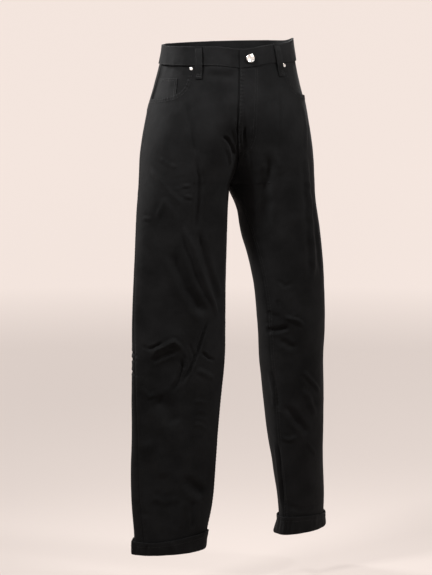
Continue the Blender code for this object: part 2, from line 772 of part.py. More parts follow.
def mouth_curve(half, wider=0.0, deeper=0.0):
    """Pocket mouth from its inner end at the band to the side seam, a squared quarter round."""
    side = 0.5 - SEAM_INSET
    inner = front_share(half, MOUTH_INNER_RUN[half] - wider, PANEL_TOP)
    places = []
    for step in range(MOUTH_STEPS + 1):
        angle = math.pi / 2 * step / MOUTH_STEPS
        reach = math.cos(angle) ** (2 / MOUTH_SQUARENESS)
        sink = math.sin(angle) ** (2 / MOUTH_SQUARENESS)
        depth = MOUTH_SIDE_DROP + deeper - MOUTH_SLOPE * reach - PANEL_TOP
        lean = MOUTH_LEAN * sink * reach
        places.append((side - (side - inner) * reach + lean, PANEL_TOP + depth * sink))
    return places


def fly_edge():
    """Edge of the lapping front from the crotch up to the band, over the other half."""
    places = []
    for drop, lap in reversed(FLY_EDGE):
        places.append((-front_share("right", lap, drop), drop))
    return places


def front_outline(half):
    side = 0.5 - SEAM_INSET
    start = fly_edge() if half == "left" else [(0.0, PANEL_TOP)]
    return start + mouth_curve(half) + [(side, PANEL_END[half]), (0.0, PANEL_END[half])]


def yoke_outline():
    side = 0.5 + SEAM_INSET
    return [
        (side, PANEL_TOP),
        (1.0, PANEL_TOP),
        (1.0, YOKE_CENTRE - HALF_GAP),
        (side, YOKE_SIDE - HALF_GAP),
    ]


def back_outline(half):
    side = 0.5 + SEAM_INSET
    return [
        (side, YOKE_SIDE + HALF_GAP),
        (1.0, YOKE_CENTRE + HALF_GAP),
        (1.0, PANEL_END[half]),
        (side, PANEL_END[half]),
    ]


def facing_outline(half):
    curve = mouth_curve(half, FACING_MARGIN, FACING_MARGIN)
    return curve + [(0.5 - SEAM_INSET, PANEL_TOP)]


def coin_outline():
    return [(across, drop) for across, drop in COIN_CORNERS]


def back_pocket_outline(half):
    """Plain patch pocket: level top, sides drawn in, and a blunt point below."""
    places = []
    for run, drop in POCKET_CORNERS:
        places.append((back_share(half, run, drop), drop))
    return places


def loop_outline(locate, top_run, end_run):
    """Belt loop with its middle at a run from the centre, at the band's top and at its end."""
    places = []
    for run, drop in (
        (top_run - LOOP_WIDTH / 2, BAND_TOP),
        (top_run + LOOP_WIDTH / 2, BAND_TOP),
        (end_run + LOOP_WIDTH / 2, LOOP_END),
        (end_run - LOOP_WIDTH / 2, LOOP_END),
    ):
        places.append((locate(run, drop), drop))
    return places


def cuff_profile(half):
    """Turned-up hem: a foot below the panels' edge and a wall that leans out to its top."""
    hem = HEM_DROP[half]
    lower = hem - CUFF_FOOT

    def profile(across):
        tall = CUFF_SIDE_HEIGHT + CUFF_INSEAM_RISE * ease(abs(across - 0.5) * 2)
        return (
            (-CLOTH, hem),
            (CUFF_FOOT_OUT, hem),
            (CUFF_TOP_OUT, hem - tall),
            (CUFF_TOP_OUT - CUFF_WALL, hem - tall),
            (CUFF_CLEAR, lower),
            (-CLOTH, lower),
        )

    return profile


def dome(radius, shank_radius, shank, thickness, crown):
    """Profile of a shank button or rivet head, base to top."""
    points = [(0.0, 0.0), (shank_radius, 0.0)]
    if shank > 0:
        points += [(shank_radius, shank), (radius * 0.94, shank), (radius, shank + thickness / 3)]
    edge = shank + thickness
    points += [(radius, edge * 0.9 + shank * 0.1), (radius * 0.94, edge)]
    for share in (0.7, 0.4, 0.0):
        points.append((radius * share, edge + crown * (1 - share**2)))
    return points


# Making the garment


def make_panels():
    for half in ("right", "left"):
        domain = "round" if half == "left" else half
        height = left_front_height if half == "left" else panel_height
        cloth_piece(f"front_{half}", domain, front_outline(half), height(0.0), height(-CLOTH))
        outline = back_outline(half)
        cloth_piece(f"back_{half}", half, outline, panel_height(0.0), panel_height(-CLOTH))
        cloth_piece(f"yoke_{half}", half, yoke_outline(), panel_height(0.0), panel_height(-CLOTH))


def make_pockets():
    for half in ("right", "left"):
        top = -FACING_DEPTH[half]
        outline = facing_outline(half)
        cloth_piece(f"pocket_facing_{half}", half, outline, top, top - CLOTH)
        outline = back_pocket_outline(half)
        cloth_piece(
            f"back_pocket_{half}", half, outline, panel_height(GAP + CLOTH), panel_height(GAP)
        )
    below = -CLOTH - GAP
    cloth_piece("coin_pocket", "right", coin_outline(), below, below - COIN_CLOTH)


def make_band():
    left_end = -front_share("right", BAND_LAP, 0.0)
    right_end = 2 + front_share("left", BAND_UNDERLAP, 0.0)
    bottom = BAND_SEAM - HALF_GAP
    outline = [(left_end, BAND_TOP), (right_end, BAND_TOP), (right_end, bottom), (left_end, bottom)]
    cloth_piece("waistband", "round", outline, band_height(BAND_OUT), band_height(-CLOTH))


def make_fly():
    zip_left = front_share("left", ZIP_START, 0.08)
    zip_right = front_share("left", ZIP_START + ZIP_WIDTH, 0.08)
    outline = [(zip_left, PANEL_TOP), (zip_right, PANEL_TOP), (zip_right, ZIP_END), (zip_left, ZIP_END)]
    cloth_piece("zip_tape", "round", outline, 0.0, -ZIP_THICKNESS)
    right = -front_share("right", SHIELD_RIGHT, 0.08)
    left = front_share("left", SHIELD_LEFT, 0.08)
    narrow = left * SHIELD_FOOT_SHARE
    outline = [
        (right, PANEL_TOP),
        (left, PANEL_TOP),
        (left, SHIELD_END - SHIELD_ROUND),
        (narrow, SHIELD_END),
        (right, SHIELD_END),
    ]
    top = -CLOTH - GAP
    cloth_piece("fly_shield", "round", outline, top, top - CLOTH)


def make_belt_loops():
    def left_front(run, drop):
        return front_share("left", run, drop)

    def right_front(run, drop):
        return 2 - front_share("right", run, drop)

    def left_back(run, drop):
        return back_share("left", run, drop)

    def right_back(run, drop):
        return 2 - back_share("right", run, drop)

    def centre_back(run, drop):
        return 1 + run / girth("left", round(drop, 7))

    loops = (
        ("belt_loop_front_right", right_front, LOOP_FRONT_RIGHT),
        ("belt_loop_front_left", left_front, LOOP_FRONT_LEFT),
        ("belt_loop_back_right", right_back, LOOP_BACK),
        ("belt_loop_back_left", left_back, LOOP_BACK),
        ("belt_loop_back_centre", centre_back, (0.0, 0.0)),
    )
    for name, locate, (top_run, end_run) in loops:
        outline = loop_outline(locate, top_run, end_run)
        cloth_piece(
            name, "round", outline, loop_height(LOOP_THICKNESS), loop_height(0.0), LOOP_CREASES
        )


def make_cuffs():
    for half in ("right", "left"):
        cloth_ring(f"cuff_{half}", half, cuff_profile(half))


def make_metal():
    spot = spot_at(DOMAINS["left"], front_share("left", BUTTON_RUN, BUTTON_DROP), BUTTON_DROP)
    point, normal = on_master(spot.half, spot.across, spot.drop)
    normal.normalize()
    base = band_height(BAND_OUT)(spot) + METAL_GAP
    profile = dome(BUTTON_RADIUS, BUTTON_SHANK_RADIUS, BUTTON_SHANK, BUTTON_RIM, BUTTON_CROWN)
    turned_piece("waist_button", profile, point + normal * base, normal, 24)
    for half in ("right", "left"):
        run = MOUTH_INNER_RUN[half] - RIVET_IN
        spot = spot_at(DOMAINS[half], front_share(half, run, RIVET_DROP), RIVET_DROP)
        point, normal = on_master(spot.half, spot.across, spot.drop)
        normal.normalize()
        base = panel_height(0.0)(spot) + METAL_GAP
        profile = dome(RIVET_RADIUS, RIVET_RADIUS, 0.0, RIVET_RIM, RIVET_CROWN)
        turned_piece(f"rivet_{half}", profile, point + normal * base, normal, 16)


def main():
    for item in list(bpy.data.objects):
        bpy.data.objects.remove(item, do_unlink=True)
    make_panels()
    make_pockets()
    make_band()
    make_fly()
    make_belt_loops()
    make_cuffs()
    make_metal()


if __name__ == "__main__":
    main()
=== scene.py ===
"""Looks of worn slim black jeans with turned-up hems, laid out as an add-on and run as a script.

The cloth pieces are fine sheets laid on the outer walls of the fixed solids, with creases, folded
seams, sewing and metal. Axes: +Z up, the front faces -Y, the wearer's left is +X.
Around a leg, "turn" is 0 at the front, 90 at the outer side, 180 behind, -90 at the inner side.
"""

import functools
import math
from collections import namedtuple

import bmesh
import bpy
import numpy as np
from bpy.props import FloatProperty, FloatVectorProperty, IntProperty, PointerProperty
from bpy.types import Operator, Panel, PropertyGroup
from mathutils import Matrix, Vector, noise
from mathutils.bvhtree import BVHTree
from mathutils.kdtree import KDTree


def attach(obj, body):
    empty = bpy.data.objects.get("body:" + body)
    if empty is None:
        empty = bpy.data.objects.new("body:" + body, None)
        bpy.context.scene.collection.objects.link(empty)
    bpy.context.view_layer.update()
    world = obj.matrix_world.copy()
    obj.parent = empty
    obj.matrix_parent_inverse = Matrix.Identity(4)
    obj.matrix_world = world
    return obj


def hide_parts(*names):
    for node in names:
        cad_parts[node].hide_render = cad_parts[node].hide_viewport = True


bl_info = {
    "name": "Slim Jeans",
    "version": (1, 0, 0),
    "blender": (4, 5, 0),
    "location": "3D View > Sidebar > Jeans",
    "description": "Worn slim jeans with creases, seams, sewing, metal and a studio",
    "category": "Object",
}

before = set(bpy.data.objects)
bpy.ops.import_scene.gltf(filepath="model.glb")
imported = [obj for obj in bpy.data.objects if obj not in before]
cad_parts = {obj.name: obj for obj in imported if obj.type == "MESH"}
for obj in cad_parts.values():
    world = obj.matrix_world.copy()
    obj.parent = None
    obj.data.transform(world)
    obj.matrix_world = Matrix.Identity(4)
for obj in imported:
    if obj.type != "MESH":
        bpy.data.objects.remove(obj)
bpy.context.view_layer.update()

MM = 0.001
SIDES = {"right": -1, "left": 1}
LOOPS = ("front_right", "front_left", "back_right", "back_left", "back_centre")
PANELS = ("front_right", "front_left", "back_right", "back_left", "yoke_right", "yoke_left")

# How the solids' outer walls are read
WALL_BEND = math.radians(50)
WALL_MOST = 3 * MM
SEAM_WELD = 0.55 * MM
SHORT_EDGE = 2.2 * MM
EDGE_CREASE = 0.55
SLAB = 0.02
CORNER_TURN = math.radians(35)
KINK_TURN = math.radians(75)
RIM_RELAX = 4
QUAD_BEND = math.radians(50)
QUAD_SHAPE = math.radians(70)

# Small pieces: the facing's reach to the side seam, and the strips' and the cuffs' measures
SIDE_GAP = 3 * MM
SIDE_REACH = 9 * MM
SIDE_DRAW = 0.85
UNEVEN = 0.35 * MM
BAND_STRIP = 38 * MM
CUFF_STRIP = 38 * MM
CUFF_UNEVEN = 1.1 * MM
CUFF_TALL = 30 * MM

# Seams: how far each feature reaches from the seam line, and how high it stands
SEAM_REACH = 14 * MM
SPLIT_REACH = 7.5 * MM
FLAT_DIP = 0.8 * MM
FLAT_DIP_REACH = 2.6 * MM
FLAT_RIDGE = 0.45 * MM
FLAT_RIDGE_REACH = 10 * MM
OVER_LIFT = 0.75 * MM
OVER_REACH = 8.5 * MM
UNDER_DIP = 0.5 * MM
UNDER_REACH = 4 * MM
FOLDED_LIFT = 0.5 * MM
FOLDED_REACH = 7 * MM
SEAM_FADE = 3 * MM
PUCKER = 0.32 * MM
PUCKER_PITCH = 7.5 * MM
LAP_SINK = 0.9 * MM
LAP_SINK_REACH = 22 * MM

# Sewing: how far rows lie from their edge and stop short of its ends, the fly's J, the hem's
# depth, where the side seam's row ends, the lengths of small stitches and the buttonhole's bars
EDGE_ROW = 1.8 * MM
ROW_SKIP = 2 * MM
FELLED_ROWS = (EDGE_ROW, 7 * MM)
MOUTH_ROWS = (EDGE_ROW, 7.4 * MM)
POCKET_ROWS = (EDGE_ROW, 6.6 * MM)
POCKET_HEM = 11 * MM
COIN_ROWS = (1.6 * MM, 5.6 * MM)
LOOP_ROW = 2.6 * MM
J_STRAIGHT = 120 * MM
J_END = 178 * MM
J_WIDTH = 37 * MM
J_GAP = 5.2 * MM
HEM_DEPTH = 9 * MM
SIDE_TACK = -0.19
TACK_STITCH = 1.1 * MM
HOLE_STITCH = 1.2 * MM
HOLE_START = 3 * MM
HOLE_HEIGHT = -13.7 * MM
HOLE_BARS = (0.5, 2.2)
HOLE_TURNS = 33

# Zip: pitch, size and seat of the teeth, size of the slider, and the free ends of the tape
TOOTH_PITCH = 1.3 * MM
TOOTH = (3.0 * MM, 0.5 * MM, 0.9 * MM)
TOOTH_ASIDE = 0.9 * MM
TOOTH_SEAT = -0.3 * MM
SLIDER = (6.5 * MM, 0.9 * MM, 8 * MM)
TAPE_LOW = 6 * MM
TAPE_HIGH = 9 * MM

# Studio: the backdrop's bend and height, the painted shade that dims its glow near the floor, the
# camera's shift and heights, the lamps and the even light of the surroundings
BEND = 0.8
BEND_STEPS = 12
WALL_TOP = 4.0
# Painted shade on the floor: how high above the floor it reaches, and how far it lowers the glow
FLOOR_SHADE_RISE = 0.25
FLOOR_SHADE_LOW = 0.76
WORLD_TONE = (1.0, 0.96, 0.93, 1.0)
WORLD_LIGHT = 0.03
CAMERA_ASIDE = -0.0241
CAMERA_HEIGHT = -0.19
CAMERA_DROP = -0.287
Lamp = namedtuple("Lamp", "name place target size power spread")
LAMPS = (
    Lamp("side_left", (-1.9, -0.8, 1.7), (0.0, 0.0, 0.45), 0.5, 31, 60),
    Lamp("side_right", (1.6, -1.4, 1.6), (0.0, 0.0, 0.45), 0.5, 19, 60),
    Lamp("front", (-0.6, -1.9, 2.4), (0.0, 0.0, 0.0), 0.5, 12, 180),
    Lamp("back_left", (1.4, 1.9, 1.9), (0.0, 0.0, 0.3), 0.6, 22, 60),
    Lamp("back_right", (-1.6, 1.7, 1.9), (0.0, 0.0, 0.3), 0.6, 26, 60),
)

# Creases: the path goes through (turn in degrees, height in millimetres) round one leg; width and
# depth are millimetres, and a negative depth is a hollow. The settings of all creases are the
# length of a degree on the cloth, the reach and fade at the ends, and the low brim on both sides.
# The paths at the hips, thighs, knees and shins were picked by eye on the photo, and a separate
# program turned the picked points into turns and heights
MM_PER_DEGREE = 1.4
CREASE_REACH = 3.2
CREASE_END = 0.2
CREASE_UNEVEN = 0.45
WIDE_GAIN = 0.13
BRIM_DEPTH = 0.3
BRIM_PLACE = 1.9
BRIM_WIDTH = 0.8
Crease = namedtuple("Crease", "leg path width depth")


def creases_of(*legs):
    return tuple(Crease(leg, *crease) for leg, creases in legs for crease in creases)


HIP_CREASES = creases_of(
    ("right", (
        (((19, -97), (15, -120), (12, -146), (7, -179), (3, -208)), 5, -1.8),
        (((-19, -167), (-25, -173), (-32, -187), (-41, -207)), 3, -3.0),
        (((-26, -185), (-32, -201), (-39, -225)), 3.5, 2.0),
        (((-29, -126), (-30, -156), (-39, -191)), 3.5, 1.6),
        (((0, -47), (-22, -49), (-40, -47)), 7, -1.0),
        (((45, -209), (34, -223), (23, -231)), 4, 1.0),
        (((60, -227), (45, -254), (32, -280), (14, -306)), 5, 1.2),
    )),
    ("left", (
        (((-34, -148), (-36, -175), (-37, -195)), 3, -2.0),
        (((-29, -151), (-30, -169)), 3, 1.0),
        (((-1, -76), (-3, -135), (-5, -195)), 3, 0.8),
        (((40, -104), (36, -155), (30, -205)), 5, 1.0),
        (((-47, -219), (-43, -207), (-38, -199)), 3, 1.6),
        (((-36, -195), (-37, -215), (-38, -235)), 3, 1.6),
    )),
)
THIGH_CREASES = creases_of(
    ("right", (
        (((4, -195), (1, -225), (-3, -258), (-4, -294), (-5, -334), (-9, -366)), 6, -2.2),
        (((14, -338), (5, -368), (-5, -394), (-20, -435), (-40, -477), (-58, -509),
          (-71, -541)), 5, 3.2),
        (((-8, -350), (-15, -375), (-28, -411), (-43, -447), (-59, -482), (-72, -510)), 7, -3.0),
        (((29, -394), (19, -430), (2, -471), (-22, -502), (-48, -534)), 9, -2.5),
        (((50, -336), (44, -314), (38, -296), (32, -310), (27, -334)), 4.5, 1.6),
        (((73, -331), (57, -334)), 3.5, 1.0),
        (((17, -266), (8, -268)), 3.5, 1.1),
        (((13, -286), (4, -290)), 3.5, 1.1),
    )),
    ("left", (
        (((29, -195), (31, -236), (36, -287), (34, -338), (32, -400), (30, -473)), 7, 2.6),
        (((43, -297), (48, -380), (52, -465)), 6, -1.5),
        (((-17, -195), (-18, -235), (-27, -296), (-46, -357)), 9, -2.0),
        (((-33, -460), (-26, -473), (-15, -467)), 4, -1.0),
    )),
)
KNEE_CREASES = creases_of(
    ("right", (
        (((-51, -531), (-48, -559), (-43, -583), (-38, -606), (-20, -631),
          (-4, -651), (11, -681)), 3.5, -3.2),
        (((-11, -582), (-22, -599), (-35, -618)), 3, -2.2),
        (((14, -612), (4, -631), (13, -659), (30, -683)), 4.5, -2.6),
        (((-47, -602), (-61, -617), (-73, -625)), 3, -2.6),
        (((-34, -638), (-54, -648), (-73, -663)), 5, 1.8),
        (((66, -611), (57, -597), (42, -587), (27, -579), (16, -589), (6, -602)), 4, 3.4),
        (((65, -621), (54, -611), (37, -601), (22, -601)), 4.5, -2.4),
        (((74, -586), (66, -594), (56, -588), (47, -580)), 3, -2.0),
        (((3, -597), (-7, -614), (-5, -631), (6, -647)), 3, 1.8),
        (((98, -601), (78, -611)), 2.5, -1.6),
        (((100, -615), (79, -622)), 2.5, -1.4),
        (((97, -641), (76, -650)), 2.5, -1.4),
    )),
    ("left", (
        (((-58, -569), (-46, -565), (-35, -563), (-23, -557)), 5, -3.2),
        (((-54, -526), (-47, -534), (-37, -540)), 5.5, -2.2),
        (((-37, -500), (-35, -519)), 4.5, -1.5),
        (((-30, -535), (-22, -540), (-11, -544), (4, -558)), 3.5, 2.2),
        (((-22, -538), (-10, -532)), 3, 1.2),
        (((-38, -586), (-25, -597), (-12, -604)), 6, -1.2),
    )),
)
SHIN_CREASES = creases_of(
    ("right", (
        (((73, -676), (67, -692), (58, -682)), 4, 1.6),
        (((-35, -706), (-52, -705), (-69, -713)), 3.5, 1.2),
        (((-42, -753), (-58, -755), (-71, -769)), 3.5, 1.3),
        (((-45, -729), (-69, -738)), 4, -1.0),
        (((61, -694), (38, -719), (14, -751)), 14, -2.2),
        (((70, -780), (53, -826), (39, -863)), 14, 2.0),
        (((-20, -861), (-55, -884), (-73, -896)), 10, -2.6),
        (((-47, -908), (-49, -945), (-49, -970)), 6, -1.8),
        (((-21, -902), (-19, -943), (-17, -968)), 6, 1.4),
        (((62, -899), (35, -908), (-11, -906)), 6, 1.2),
        (((80, -905), (73, -928), (62, -938)), 5, -1.2),
    )),
    ("left", (
        (((-51, -651), (-46, -674), (-44, -697), (-43, -736)), 5.5, -2.4),
        (((-35, -723), (-25, -740), (-12, -767), (9, -796)), 7, -2.4),
        (((0, -651), (12, -670), (26, -686), (43, -704)), 4.5, 2.0),
        (((0, -690), (13, -722), (30, -754)), 6, 1.6),
        (((-42, -794), (-31, -801), (-17, -795)), 4, 1.4),
        (((-49, -801), (-46, -844), (-46, -888), (-46, -931), (-43, -955)), 5, -3.0),
        (((1, -810), (22, -831), (35, -841)), 4, 1.2),
        (((-41, -946), (-23, -953), (18, -955)), 5, -1.2),
    )),
)
HIDDEN_CREASES = creases_of(
    ("right", (
        (((104, -262), (128, -281), (156, -287), (184, -276)), 8, -3.2),
        (((112, -300), (140, -316), (170, -318)), 7, 1.6),
        (((226, -238), (204, -262), (182, -300), (168, -336)), 6, -2.4),
        (((112, -530), (140, -556), (176, -566), (214, -556)), 5, -3.0),
        (((118, -556), (146, -582), (182, -588), (222, -578)), 5, 2.4),
        (((108, -590), (144, -604), (190, -612), (232, -598)), 4.5, -3.2),
        (((126, -628), (160, -634), (204, -646)), 4.5, -2.4),
        (((150, -652), (186, -664), (226, -662)), 6, 1.8),
        (((196, -690), (180, -742), (158, -800)), 9, -2.0),
        (((128, -878), (156, -890), (196, -884)), 7, -1.8),
        (((142, -926), (176, -936), (214, -930)), 6, 1.6),
    )),
    ("left", (
        (((98, -252), (130, -268), (164, -276), (190, -262)), 8, -3.0),
        (((230, -236), (208, -256), (190, -292), (176, -322)), 6, -2.4),
        (((108, -508), (138, -532), (168, -546), (208, -540)), 5, -2.8),
        (((116, -552), (150, -570), (186, -570), (226, -560)), 5, 2.2),
        (((104, -580), (138, -594), (178, -600), (222, -590)), 4.5, -3.0),
        (((134, -618), (166, -630), (206, -626)), 4.5, -2.0),
        (((92, -700), (112, -742), (136, -782)), 8, -1.8),
        (((188, -706), (172, -770), (166, -828)), 9, 1.8),
        (((122, -900), (158, -912), (200, -904)), 6, -1.8),
        (((136, -940), (170, -946), (208, -938)), 5, 1.4),
    )),
)
CREASES = HIP_CREASES + THIGH_CREASES + KNEE_CREASES + SHIN_CREASES + HIDDEN_CREASES
CUFF_CREASES = creases_of(
    ("right", (
        (((70, -984), (69, -1000), (68, -1016)), 2.4, 1.8),
        (((61, -985), (61, -1000), (62, -1015)), 3.0, -2.0),
        (((78, -984), (79, -1000), (80, -1015)), 2.6, -1.2),
        (((20, -986), (8, -999), (2, -1014)), 5, 0.9),
    )),
    ("left", (
        (((-43, -968), (-44, -984), (-45, -1003)), 2.4, 1.8),
        (((-34, -969), (-36, -985), (-37, -1002)), 3.0, -1.6),
        (((-52, -968), (-54, -984), (-58, -1003)), 3.0, -1.2),
        (((30, -970), (22, -984), (24, -1000)), 5, 0.8),
    )),
    ("right", (
        (((160, -986), (168, -1000), (164, -1014)), 5, 0.9),
    )),
    ("left", (
        (((176, -970), (170, -984), (174, -1002)), 5, 0.9),
    )),
)

# Places where a cuff stands off: the push in millimetres is outwards at the lower fold, and the
# drop is downwards
Flare = namedtuple("Flare", "leg turn spread push drop")
FLARES = (
    Flare("left", -80, 24, 13.0, 2.5),
    Flare("left", 70, 60, 4.0, 0.0),
    Flare("right", -84, 26, 2.5, -2.0),
    Flare("right", 88, 40, 2.0, 0.8),
)


def ease(share):
    """Smooth step from 0 to 1."""
    share = min(max(share, 0.0), 1.0)
    return share * share * (3 - 2 * share)


def settings():
    return bpy.context.scene.jeans


# Reading the solids


def clean_copy(node):
    """Sheet of a fixed solid with its loose triangles joined."""
    solid = bmesh.new()
    solid.from_mesh(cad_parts[node].data)
    bmesh.ops.remove_doubles(solid, verts=solid.verts[:], dist=0.01 * MM)
    solid.normal_update()
    return solid


@functools.lru_cache(maxsize=None)
def slab_middle(half, index):
    """Middle of one half's panels in one level slab."""
    points = half_points(half)
    inside = points[np.abs(points[:, 2] - index * SLAB) < SLAB]
    return Vector((inside.min(0) + inside.max(0)) / 2)


@functools.lru_cache(maxsize=None)
def half_points(half):
    """Corners of one half's front and back panels, one a row."""
    points = []
    for part in ("front", "back"):
        points += [vert.co[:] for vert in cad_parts[f"{part}_{half}"].data.vertices]
    return np.array(points)


def leg_middle(half, height):
    """Point on the middle line of one half, at a height."""
    low = half_points(half)[:, 2].min() + 2 * SLAB
    level = min(max(height, low), -2 * SLAB)
    index = math.floor(level / SLAB)
    share = level / SLAB - index
    middle = slab_middle(half, index).lerp(slab_middle(half, index + 1), share)
    return Vector((middle.x, middle.y, height))


def outer_sheet(node):
    """Outer wall of a cloth solid: the largest smooth run of faces with cloth close behind."""
    solid = clean_copy(node)
    tree = BVHTree.FromBMesh(solid)
    edge_walls = []
    for face in solid.faces:
        start = face.calc_center_median() - face.normal * 0.05 * MM
        central = max(abs(vert.co.x) for vert in face.verts) < 2 * MM
        far = tree.ray_cast(start, -face.normal, WALL_MOST)[0] is None
        if far or (central and abs(face.normal.x) > 0.5):
            edge_walls.append(face)
    bmesh.ops.delete(solid, geom=edge_walls, context="FACES")
    outer = max(islands(solid), key=lambda faces: sum(face.calc_area() for face in faces))
    others = [face for face in solid.faces if face not in outer]
    bmesh.ops.delete(solid, geom=others, context="FACES")
    return solid


def islands(sheet):
    """Sets of faces that hang together without a sharp bend."""
    left, found = set(sheet.faces), []
    while left:
        island, front = set(), [left.pop()]
        while front:
            face = front.pop()
            island.add(face)
            for edge in face.edges:
                if edge.calc_face_angle(math.pi) < WALL_BEND:
                    beside = left.intersection(edge.link_faces)
                    left -= beside
                    front += beside
        found.append(island)
    return found


# Meshes and objects


def mesh_of(sheet, name="sheet"):
    mesh = bpy.data.meshes.new(name)
    sheet.to_mesh(mesh)
    sheet.free()
    return mesh


def add_piece(name, mesh):
    mesh.name = name
    piece = bpy.data.objects.new(name, mesh)
    bpy.context.scene.collection.objects.link(piece)
    return piece


def coat(piece, surface):
    """Give an object its material and smooth shading."""
    for face in piece.data.polygons:
        face.use_smooth = True
    piece.data.materials.append(surface)


def mark_corners(sheet):
    """Keep sharp boundary corners where they are when the sheet is smoothed."""
    layer = sheet.verts.layers.float.new("crease_vert")
    for vert in sheet.verts:
        rim = [edge.other_vert(vert).co - vert.co for edge in vert.link_edges if edge.is_boundary]
        if len(rim) == 2 and math.pi - rim[0].angle(rim[1], math.pi) > CORNER_TURN:
            vert[layer] = 1.0
    return sheet


def make_quads(sheet):
    """Join the wall's triangles in pairs, panel by panel, and mark the seams between panels."""
    bmesh.ops.join_triangles(
        sheet,
        faces=sheet.faces[:],
        cmp_materials=True,
        angle_face_threshold=QUAD_BEND,
        angle_shape_threshold=QUAD_SHAPE,
    )
    for edge in sheet.edges:
        edge.seam = len({face.material_index for face in edge.link_faces}) > 1
    return sheet


def smoothed(mesh, levels):
    """A finer mesh through the same form, its edges and corners kept."""
    cage = add_piece("cage", mesh)
    modifier = cage.modifiers.new("smooth", "SUBSURF")
    modifier.levels = modifier.render_levels = levels
    modifier.boundary_smooth = "PRESERVE_CORNERS"
    evaluated = cage.evaluated_get(bpy.context.evaluated_depsgraph_get())
    fine = bpy.data.meshes.new_from_object(evaluated)
    bpy.data.objects.remove(cage)
    bpy.data.meshes.remove(mesh)
    return fine


def points_of(mesh):
    """Places of a mesh's corners, one a row."""
    points = np.empty(len(mesh.vertices) * 3)
    mesh.vertices.foreach_get("co", points)
    return points.reshape(-1, 3)


def lay_flat(mesh):
    """UV map in metres: every panel unrolled flat, with its grain upright."""
    cage = add_piece("cage", mesh)
    bpy.context.view_layer.objects.active = cage
    cage.select_set(True)
    bpy.ops.object.mode_set(mode="EDIT")
    bpy.ops.mesh.select_all(action="SELECT")
    bpy.ops.uv.unwrap(method="ANGLE_BASED", margin=0.02)
    bpy.ops.object.mode_set(mode="OBJECT")
    flat = mesh.uv_layers.active.uv
    sizes = {}
    for panel in sorted({face.material_index for face in mesh.polygons}):
        faces = [face for face in mesh.polygons if face.material_index == panel]
        corners = [index for face in faces for index in face.loop_indices]
        places = np.array([flat[index].vector[:] for index in corners])
        verts = [mesh.loops[index].vertex_index for index in corners]
        heights = np.array([mesh.vertices[vert].co.z for vert in verts])
        slope = np.linalg.lstsq(np.c_[places, np.ones(len(places))], heights, rcond=None)[0][:2]
        up = slope / np.linalg.norm(slope)
        places = np.c_[places @ (up[1], -up[0]), places @ up]
        real = sum(face.area for face in faces)
        places *= math.sqrt(real / flat_area(faces, dict(zip(corners, places))))
        places -= places.min(0)
        for index, place in zip(corners, places):
            flat[index].vector = place
        sizes[panel] = (*(float(side) for side in places.max(0)), real)
    bpy.data.objects.remove(cage)
    return sizes


def flat_area(faces, places):
    """Area of faces on their flat places."""
    total = 0.0
    for face in faces:
        ring = [places[index] for index in face.loop_indices]
        for before, after in zip(ring, ring[1:] + ring[:1]):
            total += (before[0] * after[1] - before[1] * after[0]) / 2
    return abs(total)


def finish_cloth(piece, node, size, surface):
    """Give a cloth object its material and its place in the garment, and hide its fixed solid."""
    for face in piece.data.polygons:
        face.material_index = 0
    piece.data.materials.clear()
    coat(piece, surface)
    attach(piece, "root")
    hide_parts(node)
    return piece


def thicken(piece, thickness):
    """Give an open sheet its cloth thickness, inwards, with worn edges."""
    wall = piece.modifiers.new("wall", "SOLIDIFY")
    wall.thickness = thickness
    wall.offset = -1.0
    wall.use_even_offset = False
    wear = piece.modifiers.new("worn_edge", "BEVEL")
    wear.width = thickness * 0.3
    wear.segments = 1
    wear.limit_method = "ANGLE"
    wear.angle_limit = math.radians(60)


# Lines on a sheet


def chains(edges):
    """Ordered lines of points through touching edges."""
    left = set(edges)
    lines = []
    while left:
        ends = {}
        for edge in left:
            for vert in edge.verts:
                ends[vert] = ends.get(vert, 0) + 1
        loose = [vert for vert in ends if ends[vert] == 1]
        vert = min(loose or ends, key=lambda end: end.index)
        line = [vert]
        while True:
            onward = [edge for edge in vert.link_edges if edge in left]
            if not onward:
                break
            left.remove(onward[0])
            vert = onward[0].other_vert(vert)
            line.append(vert)
        lines.append([vert.co.copy() for vert in line])
    return lines


def cut_at_corners(line):
    """The line's stretches between its sharp corners."""
    stretches, start = [], 0
    for k in range(1, len(line) - 1):
        before, after = line[k] - line[k - 1], line[k + 1] - line[k]
        if before.angle(after, 0.0) > CORNER_TURN:
            stretches.append(line[start:k + 1])
            start = k
    stretches.append(line[start:])
    return [stretch for stretch in stretches if len(stretch) > 2]


def line_length(line):
    return sum((after - before).length for before, after in zip(line, line[1:]))


def even_points(line, pitch):
    """Points along a line, a pitch apart."""
    runs = [0.0]
    for before, after in zip(line, line[1:]):
        runs.append(runs[-1] + (after - before).length)
    count = max(int(runs[-1] / pitch), 1)
    wanted = np.linspace(0.0, runs[-1], count + 1)
    places = np.array([point[:] for point in line])
    axes = [np.interp(wanted, runs, places[:, axis]) for axis in range(3)]
    return [Vector(place) for place in zip(*axes)]


def tree_of(mesh):
    return BVHTree.FromPolygons(
        [vert.co[:] for vert in mesh.vertices], [face.vertices[:] for face in mesh.polygons]
    )


# The garment's surface


Surface = namedtuple("Surface", "mesh tree seams edges sizes")


def ray_to_skin(tree, leg, turn, height):
    """Point of the surface where a leg's middle line sees it at a turn and height."""
    sideways = SIDES[leg] * math.sin(math.radians(turn))
    direction = Vector((sideways, -math.cos(math.radians(turn)), 0.0))
    return tree.ray_cast(leg_middle(leg, height), direction)[0]


